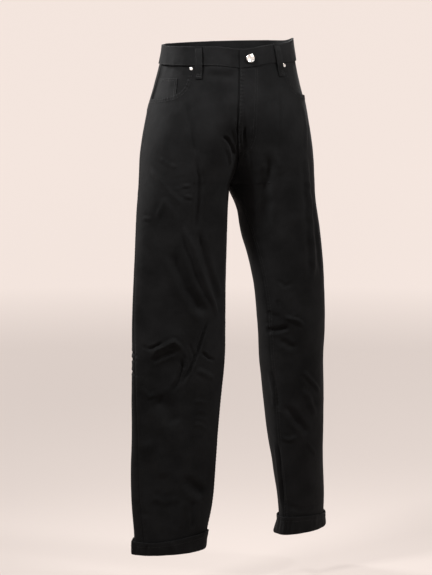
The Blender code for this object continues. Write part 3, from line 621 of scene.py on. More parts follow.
@functools.lru_cache(maxsize=None)
def crease_line(tree, crease):
    """Wandering line of a crease over the surface."""
    rough = []
    for start, end in zip(crease.path, crease.path[1:]):
        along, down = end[0] - start[0], end[1] - start[1]
        steps = max(int(math.hypot(along * MM_PER_DEGREE, down) / 3), 2)
        for step in range(steps):
            share = step / steps
            rough.append((start[0] + along * share, start[1] + down * share))
    rough.append(crease.path[-1])
    line = []
    for turn, height in rough:
        chance = noise.noise(Vector((turn * 0.06, height * 0.05, crease.width)))
        wander = chance * crease.width * 0.5
        point = ray_to_skin(tree, crease.leg, turn + wander * 0.5, (height + wander) * MM)
        if point is not None:
            line.append(point)
    return even_points(line, 2 * MM) if len(line) > 1 else []


def crease_heights(points, tree, creases):
    """Height of the creases at each point of the surface."""
    total = np.zeros(len(points))
    for number, crease in enumerate(creases):
        line = np.array([point[:] for point in crease_line(tree, crease)])
        if not len(line):
            continue
        width = crease.width * MM
        reach = CREASE_REACH * width
        near = np.where(
            ((points > line.min(0) - reach) & (points < line.max(0) + reach)).all(1)
        )[0]
        gaps = np.linalg.norm(points[near][:, None] - line[None], axis=2)
        nearest = gaps.argmin(1)
        gap = gaps[np.arange(len(near)), nearest] / width
        share = nearest / max(len(line) - 1, 1)
        taper = np.clip(np.minimum(share, 1 - share) / CREASE_END, 0, 1)
        taper = taper * taper * (3 - 2 * taper)
        uneven = np.array([
            1 + CREASE_UNEVEN * noise.noise(Vector((k * 0.06, number * 1.7, 0.3)))
            for k in range(len(line))
        ])[nearest]
        brim = np.exp(-(((gap - BRIM_PLACE) / BRIM_WIDTH) ** 2))
        form = np.exp(-gap**2) - BRIM_DEPTH * brim
        depth = crease.depth * (1 + WIDE_GAIN * crease.width) * MM
        total[near] += depth * form * taper * uneven
    return total


def rumple(points):
    """Small unevenness of worn cloth at each point."""
    return np.array([
        UNEVEN * noise.fractal(Vector(point) * 22, 0.7, 2.1, 3) * (1 + min(point[2] + 0.4, 0.0))
        for point in points
    ])


def garment_cage():
    """All panels' outer walls, welded at their seams."""
    cage = bmesh.new()
    for index, node in enumerate(PANELS):
        sheet = outer_sheet(node)
        for face in sheet.faces:
            face.material_index = index
        mesh = mesh_of(sheet)
        cage.from_mesh(mesh)
        bpy.data.meshes.remove(mesh)
    bmesh.ops.remove_doubles(cage, verts=cage.verts[:], dist=SEAM_WELD)
    short = [edge for edge in cage.edges if edge.calc_length() < SHORT_EDGE]
    bmesh.ops.collapse(cage, edges=short)
    return mark_corners(make_quads(cage))


def split_near_seams(mesh):
    """Halve the faces beside seams and free edges, and even out the free edges."""
    sheet = bmesh.new()
    sheet.from_mesh(mesh)
    rim = [vert.co.copy() for edge in sheet.edges if is_border(edge) for vert in edge.verts]
    tree = KDTree(len(rim))
    for index, point in enumerate(rim):
        tree.insert(point, index)
    tree.balance()
    close = {vert for vert in sheet.verts if tree.find(vert.co)[2] < SPLIT_REACH}
    edges = [edge for edge in sheet.edges if edge.verts[0] in close and edge.verts[1] in close]
    bmesh.ops.subdivide_edges(sheet, edges=edges, cuts=1, use_grid_fill=True)
    ease_rims(sheet)
    sheet.to_mesh(mesh)
    sheet.free()


def ease_rims(sheet, rounds=10):
    """Take small kinks out of the free edges of a sheet, its corners kept."""
    beside = {}
    for vert in sheet.verts:
        rim = [edge.other_vert(vert) for edge in vert.link_edges if edge.is_boundary]
        if len(rim) == 2 and (vert.co - rim[0].co).angle(rim[1].co - vert.co, 0.0) < KINK_TURN:
            beside[vert] = rim
    for _ in range(rounds):
        moved = {vert: (vert.co * 2 + a.co + b.co) / 4 for vert, (a, b) in beside.items()}
        for vert, place in moved.items():
            vert.co = place
    rim = {vert for edge in sheet.edges if edge.is_boundary for vert in edge.verts}
    near = {edge.other_vert(vert) for vert in beside for edge in vert.link_edges}
    near |= {edge.other_vert(vert) for vert in near for edge in vert.link_edges}
    inner = [vert for vert in sheet.verts if vert in near and vert not in rim]
    for _ in range(RIM_RELAX):
        bmesh.ops.smooth_vert(
            sheet, verts=inner, factor=0.5, use_axis_x=True, use_axis_y=True, use_axis_z=True
        )


def is_border(edge):
    return edge.is_boundary or len({face.material_index for face in edge.link_faces}) > 1


@functools.lru_cache(maxsize=None)
def garment():
    """Fine surface of all panels with its creases, seams and free edges."""
    mesh = mesh_of(garment_cage())
    sizes = lay_flat(mesh)
    mesh = smoothed(mesh, settings().cloth.levels)
    split_near_seams(mesh)
    points = points_of(mesh)
    normals = np.array([vert.normal[:] for vert in mesh.vertices])
    heights = crease_heights(points, tree_of(mesh), CREASES) + rumple(points)
    points = points + normals * heights[:, None]
    mesh.vertices.foreach_set("co", points.ravel())
    mesh.update()
    sheet = bmesh.new()
    sheet.from_mesh(mesh)
    sheet.verts.index_update()
    borders, rims = {}, {}
    for edge in sheet.edges:
        panels = tuple(sorted({PANELS[face.material_index] for face in edge.link_faces}))
        if edge.is_boundary:
            rims.setdefault(panels[0], []).append(edge)
        elif len(panels) > 1:
            borders.setdefault(panels, []).append(edge)
    seams = {pair: sorted(chains(edges), key=middle_distance) for pair, edges in borders.items()}
    edges = {}
    for panel, rim in rims.items():
        edges[panel] = [part for line in chains(rim) for part in cut_at_corners(line)]
    sheet.free()
    return Surface(mesh, tree_of(mesh), seams, edges, sizes)


def middle_distance(line):
    """How far a line lies from the garment's middle plane."""
    return sum(abs(point.x) for point in line) / len(line)


def seam(first, second, which=0):
    """Longest seam lines between two panels, the inner one first."""
    lines = [line for line in garment().seams[tuple(sorted((first, second)))] if len(line) > 8]
    return lines[which]


def yoke_edge(half):
    """Lower free edge of a yoke, which lies on the back panel's upper edge."""
    edges = [line for line in garment().edges[f"yoke_{half}"] if line_length(line) > 90 * MM]
    return min(edges, key=lambda line: line_middle(line).z)


def mouth_edge(half):
    """Free edge of a front panel at its pocket mouth."""
    return max(
        (line for line in garment().edges[f"front_{half}"] if line_height(line) > 30 * MM),
        key=lambda line: middle_distance(line) if min(point.z for point in line) > -0.15 else 0.0,
    )


def fly_edge():
    """Free edge of the lapping front."""
    return min(
        (line for line in garment().edges["front_left"] if line_height(line) > 100 * MM),
        key=middle_distance,
    )


def line_height(line):
    heights = [point.z for point in line]
    return max(heights) - min(heights)


def point_tree(line):
    tree = KDTree(len(line))
    for index, point in enumerate(line):
        tree.insert(point, index)
    tree.balance()
    return tree


def seam_lift(kind, distance, run):
    """Height of the cloth beside a seam or folded edge."""
    shift = 3 * noise.noise(Vector((run * 20, 0, 0)))
    pucker = PUCKER * math.sin(2 * math.pi * run / PUCKER_PITCH + shift)
    pucker *= 1 - ease(distance / SEAM_REACH)
    if kind == "flat":
        ridge = ease(distance / FLAT_DIP_REACH) - ease((distance - FLAT_RIDGE_REACH) / SEAM_FADE)
        return FLAT_RIDGE * ridge - FLAT_DIP * (1 - ease(distance / FLAT_DIP_REACH)) + pucker
    if kind == "over":
        return OVER_LIFT * (1 - ease((distance - OVER_REACH) / SEAM_FADE)) + pucker
    if kind == "under":
        return -UNDER_DIP * (1 - ease(distance / UNDER_REACH))
    if kind == "sunk":
        return -LAP_SINK * (1 - ease(distance / LAP_SINK_REACH))
    return FOLDED_LIFT * (1 - ease((distance - FOLDED_REACH) / SEAM_FADE)) + pucker


def panel_borders(panel):
    """Seams and folded edges of a panel, with how each is sewn."""
    part, half = panel.split("_")
    borders = []
    if part in ("front", "back"):
        other = {"front": "back", "back": "front"}[part]
        borders.append((seam(panel, f"{other}_{half}", -1), "flat"))
        borders.append((seam(panel, f"{other}_{half}", 0), "over" if part == "front" else "under"))
    if part == "front":
        borders.append((mouth_edge(half), "folded"))
        borders.append((fly_edge(), "folded" if half == "left" else "sunk"))
        borders.append((seam("front_left", "front_right"), "over" if half == "left" else "under"))
    else:
        borders.append((yoke_edge(half), "over" if part == "yoke" else "under"))
        middle = seam(f"{part}_left", f"{part}_right")
        borders.append((middle, "over" if half == "left" else "under"))
    return borders


def make_panel(index, panel):
    """One panel cut out of the garment's surface, with its seams worked in."""
    sheet = bmesh.new()
    sheet.from_mesh(garment().mesh)
    sheet.normal_update()
    lifts = {}
    kept = [face for face in sheet.faces if face.material_index == index]
    verts = {vert for face in kept for vert in face.verts}
    for line, kind in panel_borders(panel):
        points = even_points(line, MM)
        tree = point_tree(points)
        for vert in verts:
            _, place, distance = tree.find(vert.co)
            if distance < max(SEAM_REACH, LAP_SINK_REACH):
                lift = seam_lift(kind, distance, place * MM)
                lifts[vert] = lifts.get(vert, 0.0) + lift
    for vert, lift in lifts.items():
        vert.co += vert.normal * lift
    others = [face for face in sheet.faces if face.material_index != index]
    bmesh.ops.delete(sheet, geom=others, context="FACES")
    ease_rims(sheet)
    piece = add_piece(f"{panel}_cloth", mesh_of(sheet))
    thicken(piece, settings().cloth.thickness)
    return finish_cloth(piece, panel, garment().sizes[index], twill())


# Smaller cloth pieces


def smooth_solid(node, levels):
    """A fixed cloth solid with its edges and corners rounded off."""
    solid = clean_copy(node)
    make_quads(solid)
    layer = solid.edges.layers.float.new("crease_edge")
    for edge in solid.edges:
        if edge.calc_face_angle(0.0) > CORNER_TURN:
            edge[layer] = EDGE_CREASE
    return smoothed(mesh_of(solid), levels)


def box_map(mesh):
    """UV map in metres, each face seen along its main direction."""
    layer = mesh.uv_layers.new(name="UVMap")
    for face in mesh.polygons:
        away = [abs(value) for value in face.normal]
        main = away.index(max(away))
        across = {0: (1, 2), 1: (0, 2), 2: (0, 1)}[main]
        for index in face.loop_indices:
            point = mesh.vertices[mesh.loops[index].vertex_index].co
            layer.uv[index].vector = (point[across[0]], point[across[1]])


def follow_cloth(mesh, node, creases, tree, uneven):
    """Move both faces of a piece with the creases under it and make it a little uneven."""
    outer = mesh_of(mark_corners(make_quads(outer_sheet(node))))
    wall = tree_of(smoothed(outer, 2))
    points = points_of(mesh)
    places = [wall.find_nearest(Vector(point)) for point in points]
    on_wall = np.array([place[0][:] for place in places])
    away = np.array([place[1][:] for place in places])
    heights = crease_heights(on_wall, tree or wall, creases)
    for k, place in enumerate(on_wall):
        heights[k] += uneven * noise.fractal(Vector(place) * 28, 0.6, 2.1, 3)
    points = points + away * heights[:, None]
    mesh.vertices.foreach_set("co", points.ravel())
    mesh.update()


def strip_size(node, height):
    """Flat size of a straight strip from its area."""
    area = sum(face.calc_area() for face in outer_sheet(node).faces)
    return area / height, height, area


def make_small_piece(node, levels, strip=None, creases=CREASES, tree=None, uneven=UNEVEN):
    """A small cloth piece on its fixed solid, with rounded edges."""
    if strip:
        size = strip_size(node, strip)
    else:
        size = lay_flat(mesh_of(make_quads(outer_sheet(node))))[0]
    mesh = smooth_solid(node, levels)
    follow_cloth(mesh, node, creases, tree, uneven)
    box_map(mesh)
    return finish_cloth(add_piece(f"{node}_cloth", mesh), node, size, twill())


def make_facing(half):
    """The cloth in a pocket mouth, drawn up to the side seam."""
    piece = make_small_piece(f"pocket_facing_{half}", 3, None, CREASES, garment().tree)
    rims = []
    for part in ("back", "yoke"):
        for line in garment().edges[f"{part}_{half}"]:
            rims += even_points(line, MM)
    tree = point_tree(rims)
    for vert in piece.data.vertices:
        place, _, gap = tree.find(vert.co)
        near = 1 - ease((gap - SIDE_GAP) / (SIDE_REACH - SIDE_GAP))
        vert.co += (place - vert.co) * SIDE_DRAW * near
    piece.data.update()
    return piece


def make_cuff(half):
    """A turned-up hem that stands off unevenly round the leg."""
    node = f"cuff_{half}"
    piece = make_small_piece(node, 3, CUFF_STRIP, CUFF_CREASES, None, CUFF_UNEVEN)
    low = min(vert.co.z for vert in piece.data.vertices)
    for vert in piece.data.vertices:
        middle = leg_middle(half, vert.co.z)
        away = Vector((vert.co.x - middle.x, vert.co.y - middle.y, 0.0))
        turn = math.degrees(math.atan2(away.x * SIDES[half], -away.y))
        share = 1 - ease((vert.co.z - low) / CUFF_TALL)
        for flare in FLARES:
            if flare.leg == half:
                gap = (turn - flare.turn + 180) % 360 - 180
                near = math.exp(-((gap / flare.spread) ** 2)) * share
                vert.co += away.normalized() * flare.push * MM * near
                vert.co.z -= flare.drop * MM * near
    piece.data.update()
    return piece


# Sewing


@functools.lru_cache(maxsize=None)
def made(node):
    """Surface of a cloth piece that has been made."""
    piece = bpy.data.objects.get(f"{node}_cloth")
    if piece is None:
        raise RuntimeError(f"{node} has to be made before its sewing")
    return tree_of(piece.data)


def beside(line, tree, offset, skip=0.0):
    """Line moved sideways over a surface, to the side where there is cloth."""
    points = even_points(line, MM)
    skipped = int(skip / MM)
    points = points[skipped:len(points) - skipped] if skipped else points
    sides = ([], [])
    misses = [0.0, 0.0]
    for k, point in enumerate(points):
        along = points[min(k + 2, len(points) - 1)] - points[max(k - 2, 0)]
        normal = tree.find_nearest(point)[1]
        across = normal.cross(along).normalized() * offset
        for side, moved in enumerate((point + across, point - across)):
            near = tree.find_nearest(moved)[0]
            sides[side].append(near)
            misses[side] += (near - moved).length
    return eased(sides[misses.index(min(misses))])


def eased(line, window=4):
    """Line with small kinks averaged out, its ends kept."""
    last = len(line) - 1
    smooth = []
    for k in range(len(line)):
        reach = min(window, k, last - k)
        smooth.append(line_middle(line[k - reach:k + reach + 1]))
    return smooth


def sew(sheet, line, tree, stitch, thickness):
    """Lay single stitches along a line, half sunk in the cloth."""
    points = even_points(line, stitch)
    for before, after in zip(points, points[1:]):
        place, normal, _, _ = tree.find_nearest((before + after) / 2)
        along = (after - before).normalized()
        across = along.cross(normal).normalized()
        turned = Matrix((across, across.cross(along) * -1, along)).transposed().to_4x4()
        size = Matrix.Diagonal((thickness, thickness * 0.75, stitch * 0.43, 1.0))
        bmesh.ops.create_uvsphere(
            sheet,
            u_segments=5,
            v_segments=3,
            radius=1.0,
            matrix=Matrix.Translation(place + normal * thickness * 0.25) @ turned @ size,
        )


def add_sewing(name, rows, stitch=None):
    """One object with all stitches of several rows."""
    sewing = settings().sewing
    joined = bmesh.new()
    for tree, line in rows:
        row = bmesh.new()
        sew(row, line, tree, stitch or sewing.stitch, sewing.thickness)
        mesh = mesh_of(row)
        joined.from_mesh(mesh)
        bpy.data.meshes.remove(mesh)
    piece = add_piece(name, mesh_of(joined))
    coat(piece, thread())
    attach(piece, "root")
    return piece


def wall_edges(node):
    """Edges of a piece's outer wall, cut at its corners, the longest first."""
    sheet = outer_sheet(node)
    sheet.verts.index_update()
    rim = [edge for edge in sheet.edges if edge.is_boundary]
    lines = [part for line in chains(rim) for part in cut_at_corners(line)]
    sheet.free()
    return sorted((line for line in lines if line_length(line) > 8 * MM), key=line_length)[::-1]


def line_middle(line):
    return sum(line, Vector()) / len(line)


def tack(tree, start, end, turns=16):
    """Zigzag of a bar tack between two points of a surface."""
    along = end - start
    normal = tree.find_nearest(start)[1]
    across = normal.cross(along).normalized() * settings().sewing.tack
    line = []
    for k in range(turns + 1):
        line.append(start + along * (k / turns) + across * (1 if k % 2 else -1))
    return tree, line


@functools.lru_cache(maxsize=None)
def loop_sides(place):
    """Rows along both long edges of a belt loop, from the top down."""
    loop = made(f"belt_loop_{place}")
    edges = wall_edges(f"belt_loop_{place}")[:2]
    sides = [beside(edge, loop, LOOP_ROW, ROW_SKIP) for edge in edges]
    return loop, [sorted(side, key=lambda point: -point.z) for side in sides]


def waist_rows():
    """Both edges of the waistband and the belt loops."""
    band = made("waistband")
    rows = [(band, beside(edge, band, 2 * MM, 3 * MM)) for edge in wall_edges("waistband")[:2]]
    for place in LOOPS:
        loop, sides = loop_sides(place)
        rows += [(loop, side) for side in sides]
    return rows


def tack_rows():
    """Bar tacks at the ends of the belt loops and at the foot of the fly."""
    rows = []
    for place in LOOPS:
        loop, sides = loop_sides(place)
        for index in (4, -4, -8):
            rows.append(tack(loop, sides[0][index], sides[1][index]))
    front = made("front_left")
    edge = fly_line()
    inner = Vector((5 * MM, 0.0, 0.0))
    rows.append(tack(front, edge[-16] + inner, edge[-12] + inner))
    return rows


def buttonhole_rows():
    """Close stitches round the slit behind the button."""
    band = made("waistband")
    slit = settings().sewing.slit * MM
    rows = []
    for side in (-1, 1):
        line = []
        for k in range(HOLE_TURNS + 1):
            x = HOLE_START + (slit * k) / HOLE_TURNS
            for reach in HOLE_BARS:
                aim = Vector((x, -0.3, HOLE_HEIGHT + side * reach * MM))
                point = band.ray_cast(aim, Vector((0.0, 1.0, 0.0)))[0]
                line.append(point)
        rows.append((band, line))
    return rows


def pocket_rows():
    """Mouths of the front pockets, the coin pocket and the back pockets."""
    rows = []
    for half in SIDES:
        front = made(f"front_{half}")
        for offset in MOUTH_ROWS:
            rows.append((front, beside(mouth_edge(half), front, offset, ROW_SKIP)))
        pocket = made(f"back_pocket_{half}")
        edges = sorted(wall_edges(f"back_pocket_{half}"), key=lambda line: line_middle(line).z)
        for edge in edges[:-1]:
            for offset in POCKET_ROWS:
                rows.append((pocket, beside(edge, pocket, offset, offset)))
        rows.append((pocket, beside(edges[-1], pocket, POCKET_HEM, ROW_SKIP)))
    coin = made("coin_pocket")
    edges = wall_edges("coin_pocket")[:4]
    top = max(edges, key=lambda line: line_middle(line).z)
    side = min(edges, key=lambda line: abs(line_middle(line).x))
    for edge in (top, side):
        for offset in COIN_ROWS:
            rows.append((coin, beside(edge, coin, offset, offset)))
    return rows


def seam_rows():
    """Felled seams: yokes, centre back, crotch and inseams."""
    rows = []
    for half in SIDES:
        yoke = made(f"yoke_{half}")
        line = yoke_edge(half)
        rows += [(yoke, beside(line, yoke, offset, ROW_SKIP)) for offset in FELLED_ROWS]
        front = made(f"front_{half}")
        line = seam(f"front_{half}", f"back_{half}", 0)
        rows += [(front, beside(line, front, offset, 2 * ROW_SKIP)) for offset in FELLED_ROWS]
        line = seam(f"front_{half}", f"back_{half}", -1)
        top = [point for point in line if point.z > SIDE_TACK]
        rows.append((front, beside(top, front, EDGE_ROW)))
    for part in ("back", "yoke", "front"):
        sheet = made(f"{part}_left")
        line = seam(f"{part}_left", f"{part}_right")
        rows += [(sheet, beside(line, sheet, offset, ROW_SKIP)) for offset in FELLED_ROWS]
    return rows


def fly_line():
    """Points of the fly's free edge from the top down, 2 mm apart."""
    return even_points(sorted(fly_edge(), key=lambda point: -point.z), 2 * MM)


def fly_rows():
    """Edge of the fly and the curved double row that holds its facing."""
    front = made("front_left")
    edge = fly_line()
    rows = [(front, beside(edge, front, EDGE_ROW, ROW_SKIP))]
    for inset in (0.0, J_GAP):
        places = [(run * MM, J_WIDTH - inset) for run in range(0, int(J_STRAIGHT / MM), 4)]
        for step in range(0, 90, 5):
            bend = math.radians(step)
            run = J_STRAIGHT + (J_END - inset - J_STRAIGHT) * math.sin(bend)
            places.append((run, (J_WIDTH - inset) * math.cos(bend)))
        line = []
        for run, width in places:
            start = edge[min(round(run / (2 * MM)), len(edge) - 1)]
            line.append(front.find_nearest(start + Vector((width, 0.0, 0.0)))[0])
        rows.append((front, eased(even_points(line, MM))))
    return rows


def cuff_rows():
    """The hem's own row, which shows on the turned-up side."""
    rows = []
    for half in SIDES:
        cuff = made(f"cuff_{half}")
        top = max(vert.co.z for vert in bpy.data.objects[f"cuff_{half}_cloth"].data.vertices)
        middle = leg_middle(half, top)
        line = []
        for turn in range(0, 361, 3):
            away = Vector((math.sin(math.radians(turn)), -math.cos(math.radians(turn)), 0.0))
            start = middle + away * 0.3
            start.z = cuff_top(cuff, start, away, top) - HEM_DEPTH
            line.append(cuff.ray_cast(start, -away)[0])
        rows.append((cuff, line))
    return rows


def cuff_top(cuff, start, away, top):
    """Height at which a level ray first meets a cuff, going down."""
    for step in range(60):
        height = top - step * MM
        if cuff.ray_cast(Vector((start.x, start.y, height)), -away, 0.3)[0] is not None:
            return height
    return top


# Metal


def node_axis(node):
    """Middle, outward axis, radius and height of a round fixed piece."""
    points = np.array([vert.co[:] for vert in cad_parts[node].data.vertices])
    middle = (points.max(0) + points.min(0)) / 2
    sizes, axes = np.linalg.eigh(np.cov((points - points.mean(0)).T))
    axis = Vector(axes[:, 0])
    if axis.y > 0:
        axis = -axis
    reach = (points - middle) @ np.array(axis)
    radius = math.sqrt(max(((points - middle) ** 2).sum(1) - reach**2))
    return Vector(middle), axis, radius, float(np.ptp(reach))


def spun(profile, steps, weld):
    """Form of a profile of (reach, height) points turned right round the upright axis."""
    form = bmesh.new()
    points = [form.verts.new((reach, 0.0, height)) for reach, height in profile]
    edges = [form.edges.new(pair) for pair in zip(points, points[1:])]
    bmesh.ops.spin(
        form,
        geom=points + edges,
        cent=(0.0, 0.0, 0.0),
        axis=(0.0, 0.0, 1.0),
        angle=math.tau,
        steps=steps,
        use_merge=True,
    )
    bmesh.ops.remove_doubles(form, verts=form.verts[:], dist=weld)
    bmesh.ops.recalc_face_normals(form, faces=form.faces[:])
    return form


def turn_profile(name, node, profile):
    """Turned metal piece in place of a round fixed piece.

    The profile's points are (share of the radius, share of the height) from the middle outwards.
    """
    middle, axis, radius, height = node_axis(node)
    turned = spun([(r * radius, (h - 0.5) * height) for r, h in profile], 48, 0.005 * MM)
    upright = axis.to_track_quat("Z", "Y").to_matrix().to_4x4()
    turned.transform(Matrix.Translation(middle) @ upright)
    piece = add_piece(name, mesh_of(turned))
    coat(piece, bright_metal())
    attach(piece, "root")
    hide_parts(node)
    return piece


BUTTON_PROFILE = (
    (0.0, 0.78), (0.28, 0.80), (0.50, 0.84), (0.57, 0.90), (0.63, 0.90), (0.69, 0.80),
    (0.76, 0.78), (0.83, 0.92), (0.90, 1.0), (0.96, 0.94), (1.0, 0.78), (0.985, 0.60),
    (0.90, 0.50), (0.60, 0.44), (0.55, 0.30), (0.55, 0.02), (0.50, 0.0), (0.0, 0.0),
)
RIVET_PROFILE = (
    (0.0, 1.0), (0.20, 0.97), (0.32, 0.84), (0.38, 0.58), (0.48, 0.48), (0.66, 0.56),
    (0.84, 0.62), (0.96, 0.46), (1.0, 0.20), (0.98, 0.0), (0.0, 0.0),
)


def make_zip():
    """Rows of zip teeth and the closed slider on the tape."""
    points = np.array([vert.co[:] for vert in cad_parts["zip_tape"].data.vertices])
    tape = made("zip_tape")
    low, high = points[:, 2].min() + TAPE_LOW, points[:, 2].max() - TAPE_HIGH
    middle_x = (points[:, 0].min() + points[:, 0].max()) / 2
    teeth = bmesh.new()
    count = int((high - low) / TOOTH_PITCH)
    for k in range(count):
        height = low + (high - low) * k / count
        side = 1 if k % 2 else -1
        spot, normal, _, _ = tape.ray_cast(Vector((middle_x, -0.3, height)), Vector((0, 1, 0)))
        place = spot + Vector((side * TOOTH_ASIDE, 0.0, 0.0)) + normal * TOOTH_SEAT
        shape = Matrix.Translation(place) @ Matrix.Diagonal((*TOOTH, 1.0))
        bmesh.ops.create_cube(teeth, size=1.0, matrix=shape)
    slider = bmesh.new()
    spot = tape.ray_cast(Vector((middle_x, -0.3, high + 2 * MM)), Vector((0, 1, 0)))[0]
    shape = Matrix.Translation(spot) @ Matrix.Diagonal((*SLIDER, 1.0))
    bmesh.ops.create_cube(slider, size=1.0, matrix=shape)
    bmesh.ops.bevel(
        slider,
        geom=slider.edges[:],
        offset=0.3 * MM,
        affect="EDGES",
        segments=2,
        profile=0.5,
        material=-1,
    )
    mesh = mesh_of(slider)
    teeth.from_mesh(mesh)
    bpy.data.meshes.remove(mesh)
    piece = add_piece("zip_teeth", mesh_of(teeth))
    piece.data.materials.append(bright_metal())
    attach(piece, "root")
    return piece


# Materials


def add_nodes(tree, *kinds):
    return [tree.nodes.new(f"ShaderNode{kind}") for kind in kinds]


def give(node, **values):
    """Set a node's unlinked inputs; an underscore stands for a space in an input's name."""
    for name, value in values.items():
        node.inputs[name.replace("_", " ")].default_value = value


def named_material(name, make):
    found = bpy.data.materials.get(name)
    if found:
        return found
    material = bpy.data.materials.new(name)
    material.use_nodes = True
    make(material.node_tree, material.node_tree.nodes["Principled BSDF"])
    return material


def twill():
    """Matt black twill: fine slanting wales, slubs along the warp and soft worn patches."""

    def make(tree, shader):
        cloth = settings().cloth
        link = tree.links.new
        place, wale, wave, slub_place, slub, patch, ramp, worn = add_nodes(
            tree, "TexCoord", "Mapping", "TexWave", "Mapping", "TexNoise", "TexNoise",
            "ValToRGB", "Mix",
        )
        height, bump, patch_bump = add_nodes(tree, "Math", "Bump", "Bump")
        link(place.outputs["UV"], wale.inputs["Vector"])
        give(wale, Rotation=(0.0, 0.0, math.radians(28)))
        link(wale.outputs["Vector"], wave.inputs["Vector"])
        give(wave, Scale=cloth.wales / 6.283, Distortion=1.2, Detail=2.0, Detail_Scale=1.5)
        link(place.outputs["UV"], slub_place.inputs["Vector"])
        give(slub_place, Scale=(1.0, 0.06, 1.0))
        link(slub_place.outputs["Vector"], slub.inputs["Vector"])
        give(slub, Scale=1500.0, Detail=3.0)
        link(place.outputs["Object"], patch.inputs["Vector"])
        give(patch, Scale=14.0, Detail=5.0, Roughness=0.62)
        link(patch.outputs["Fac"], ramp.inputs["Fac"])
        ramp.color_ramp.elements[0].position = 0.32
        ramp.color_ramp.elements[1].position = 0.72
        ramp.color_ramp.elements[0].color = (*[shade * 0.55 for shade in cloth.colour], 1.0)
        ramp.color_ramp.elements[1].color = (*[shade * 1.6 for shade in cloth.colour], 1.0)
        worn.data_type = "RGBA"
        worn.blend_type = "MULTIPLY"
        give(worn, Factor=0.55)
        link(ramp.outputs["Color"], worn.inputs["A"])
        link(slub.outputs["Fac"], worn.inputs["B"])
        link(worn.outputs["Result"], shader.inputs["Base Color"])
        height.operation = "MULTIPLY_ADD"
        link(wave.outputs["Fac"], height.inputs[0])
        height.inputs[1].default_value = 0.6
        link(slub.outputs["Fac"], height.inputs[2])
        link(height.outputs["Value"], bump.inputs["Height"])
        give(bump, Strength=0.5, Distance=0.16 * MM)
        link(patch.outputs["Fac"], patch_bump.inputs["Height"])
        give(patch_bump, Strength=0.6, Distance=3 * MM)
        link(bump.outputs["Normal"], patch_bump.inputs["Normal"])
        link(patch_bump.outputs["Normal"], shader.inputs["Normal"])
        give(
            shader,
            Roughness=cloth.roughness,
            Specular_IOR_Level=0.06,
            Sheen_Weight=cloth.sheen,
            Sheen_Roughness=0.45,
            Sheen_Tint=(0.8, 0.8, 0.82, 1.0),
        )

    return named_material("black_twill", make)


def thread():
    """Black polyester thread, a little brighter than the cloth."""

    def make(tree, shader):
        place, twist, ramp, bump = add_nodes(tree, "TexCoord", "TexNoise", "ValToRGB", "Bump")
        link = tree.links.new
        link(place.outputs["Object"], twist.inputs["Vector"])
        give(twist, Scale=900.0)
        link(twist.outputs["Fac"], ramp.inputs["Fac"])
        shade = settings().sewing.colour
        ramp.color_ramp.elements[0].color = (*[tone * 0.6 for tone in shade], 1.0)
        ramp.color_ramp.elements[1].color = (*[tone * 1.4 for tone in shade], 1.0)
        link(ramp.outputs["Color"], shader.inputs["Base Color"])
        link(twist.outputs["Fac"], bump.inputs["Height"])
        give(bump, Distance=0.1 * MM)
        link(bump.outputs["Normal"], shader.inputs["Normal"])
        give(shader, Roughness=0.7, Specular_IOR_Level=0.2)

    return named_material("black_thread", make)


def bright_metal():
    """Polished nickel with faint brushing."""

    def make(tree, shader):
        place, brushing, ramp, bump = add_nodes(tree, "TexCoord", "TexNoise", "MapRange", "Bump")
        link = tree.links.new
        link(place.outputs["Object"], brushing.inputs["Vector"])
        give(brushing, Scale=700.0)
        link(brushing.outputs["Fac"], ramp.inputs["Value"])
        give(
            ramp,
            To_Min=settings().metal.roughness * 0.7,
            To_Max=settings().metal.roughness * 1.3,
        )
        link(ramp.outputs["Result"], shader.inputs["Roughness"])
        link(brushing.outputs["Fac"], bump.inputs["Height"])
        give(bump, Strength=0.2, Distance=0.02 * MM)
        link(bump.outputs["Normal"], shader.inputs["Normal"])
        give(shader, Base_Color=(*settings().metal.colour, 1.0), Metallic=1.0)

    return named_material("nickel", make)


def studio_paint(name, colour, glow):
    """Matt studio surface that glows evenly, with a trace of unevenness; near the floor its glow
    is lowered as painted shade.
    """

    def make(tree, shader):
        place, mottle, ramp, parts, floor_shade = add_nodes(
            tree, "TexCoord", "TexNoise", "ValToRGB", "SeparateXYZ", "MapRange"
        )
        link = tree.links.new
        link(place.outputs["Object"], mottle.inputs["Vector"])
        give(mottle, Scale=1.5)
        link(mottle.outputs["Fac"], ramp.inputs["Fac"])
        ramp.color_ramp.elements[0].color = (*[tone * 0.985 for tone in colour], 1.0)
        ramp.color_ramp.elements[1].color = (*colour, 1.0)
        link(ramp.outputs["Color"], shader.inputs["Base Color"])
        give(shader, Roughness=0.95, Specular_IOR_Level=0.1, Emission_Color=(*glow, 1.0))
        # Painted shade: the glow drops towards the floor, so the floor shows darker than the wall
        # as if less light fell on it
        link(place.outputs["Object"], parts.inputs["Vector"])
        link(parts.outputs["Z"], floor_shade.inputs["Value"])
        give(
            floor_shade,
            From_Min=settings().stage.floor,
            From_Max=settings().stage.floor + FLOOR_SHADE_RISE,
            To_Min=FLOOR_SHADE_LOW,
            To_Max=1.0,
        )
        link(floor_shade.outputs["Result"], shader.inputs["Emission Strength"])

    return named_material(name, make)


def make_backdrop(stage):
    """Round floor that bends up into a wall on all sides."""
    profile = [(0.0, 0.0), (stage.radius - BEND, 0.0)]
    for step in range(1, BEND_STEPS + 1):
        angle = math.radians(90 / BEND_STEPS * step)
        rise = BEND * (1 - math.cos(angle))
        profile.append((stage.radius - BEND + BEND * math.sin(angle), rise))
    profile.append((stage.radius, WALL_TOP))
    sweep = spun([(reach, stage.floor + rise) for reach, rise in profile], 96, MM)
    if sum(face.normal.z for face in sweep.faces) < 0:
        bmesh.ops.reverse_faces(sweep, faces=sweep.faces[:])
    backdrop = add_piece("backdrop", mesh_of(sweep))
    coat(backdrop, studio_paint("backdrop_paint", stage.colour, stage.glow))


# Settings


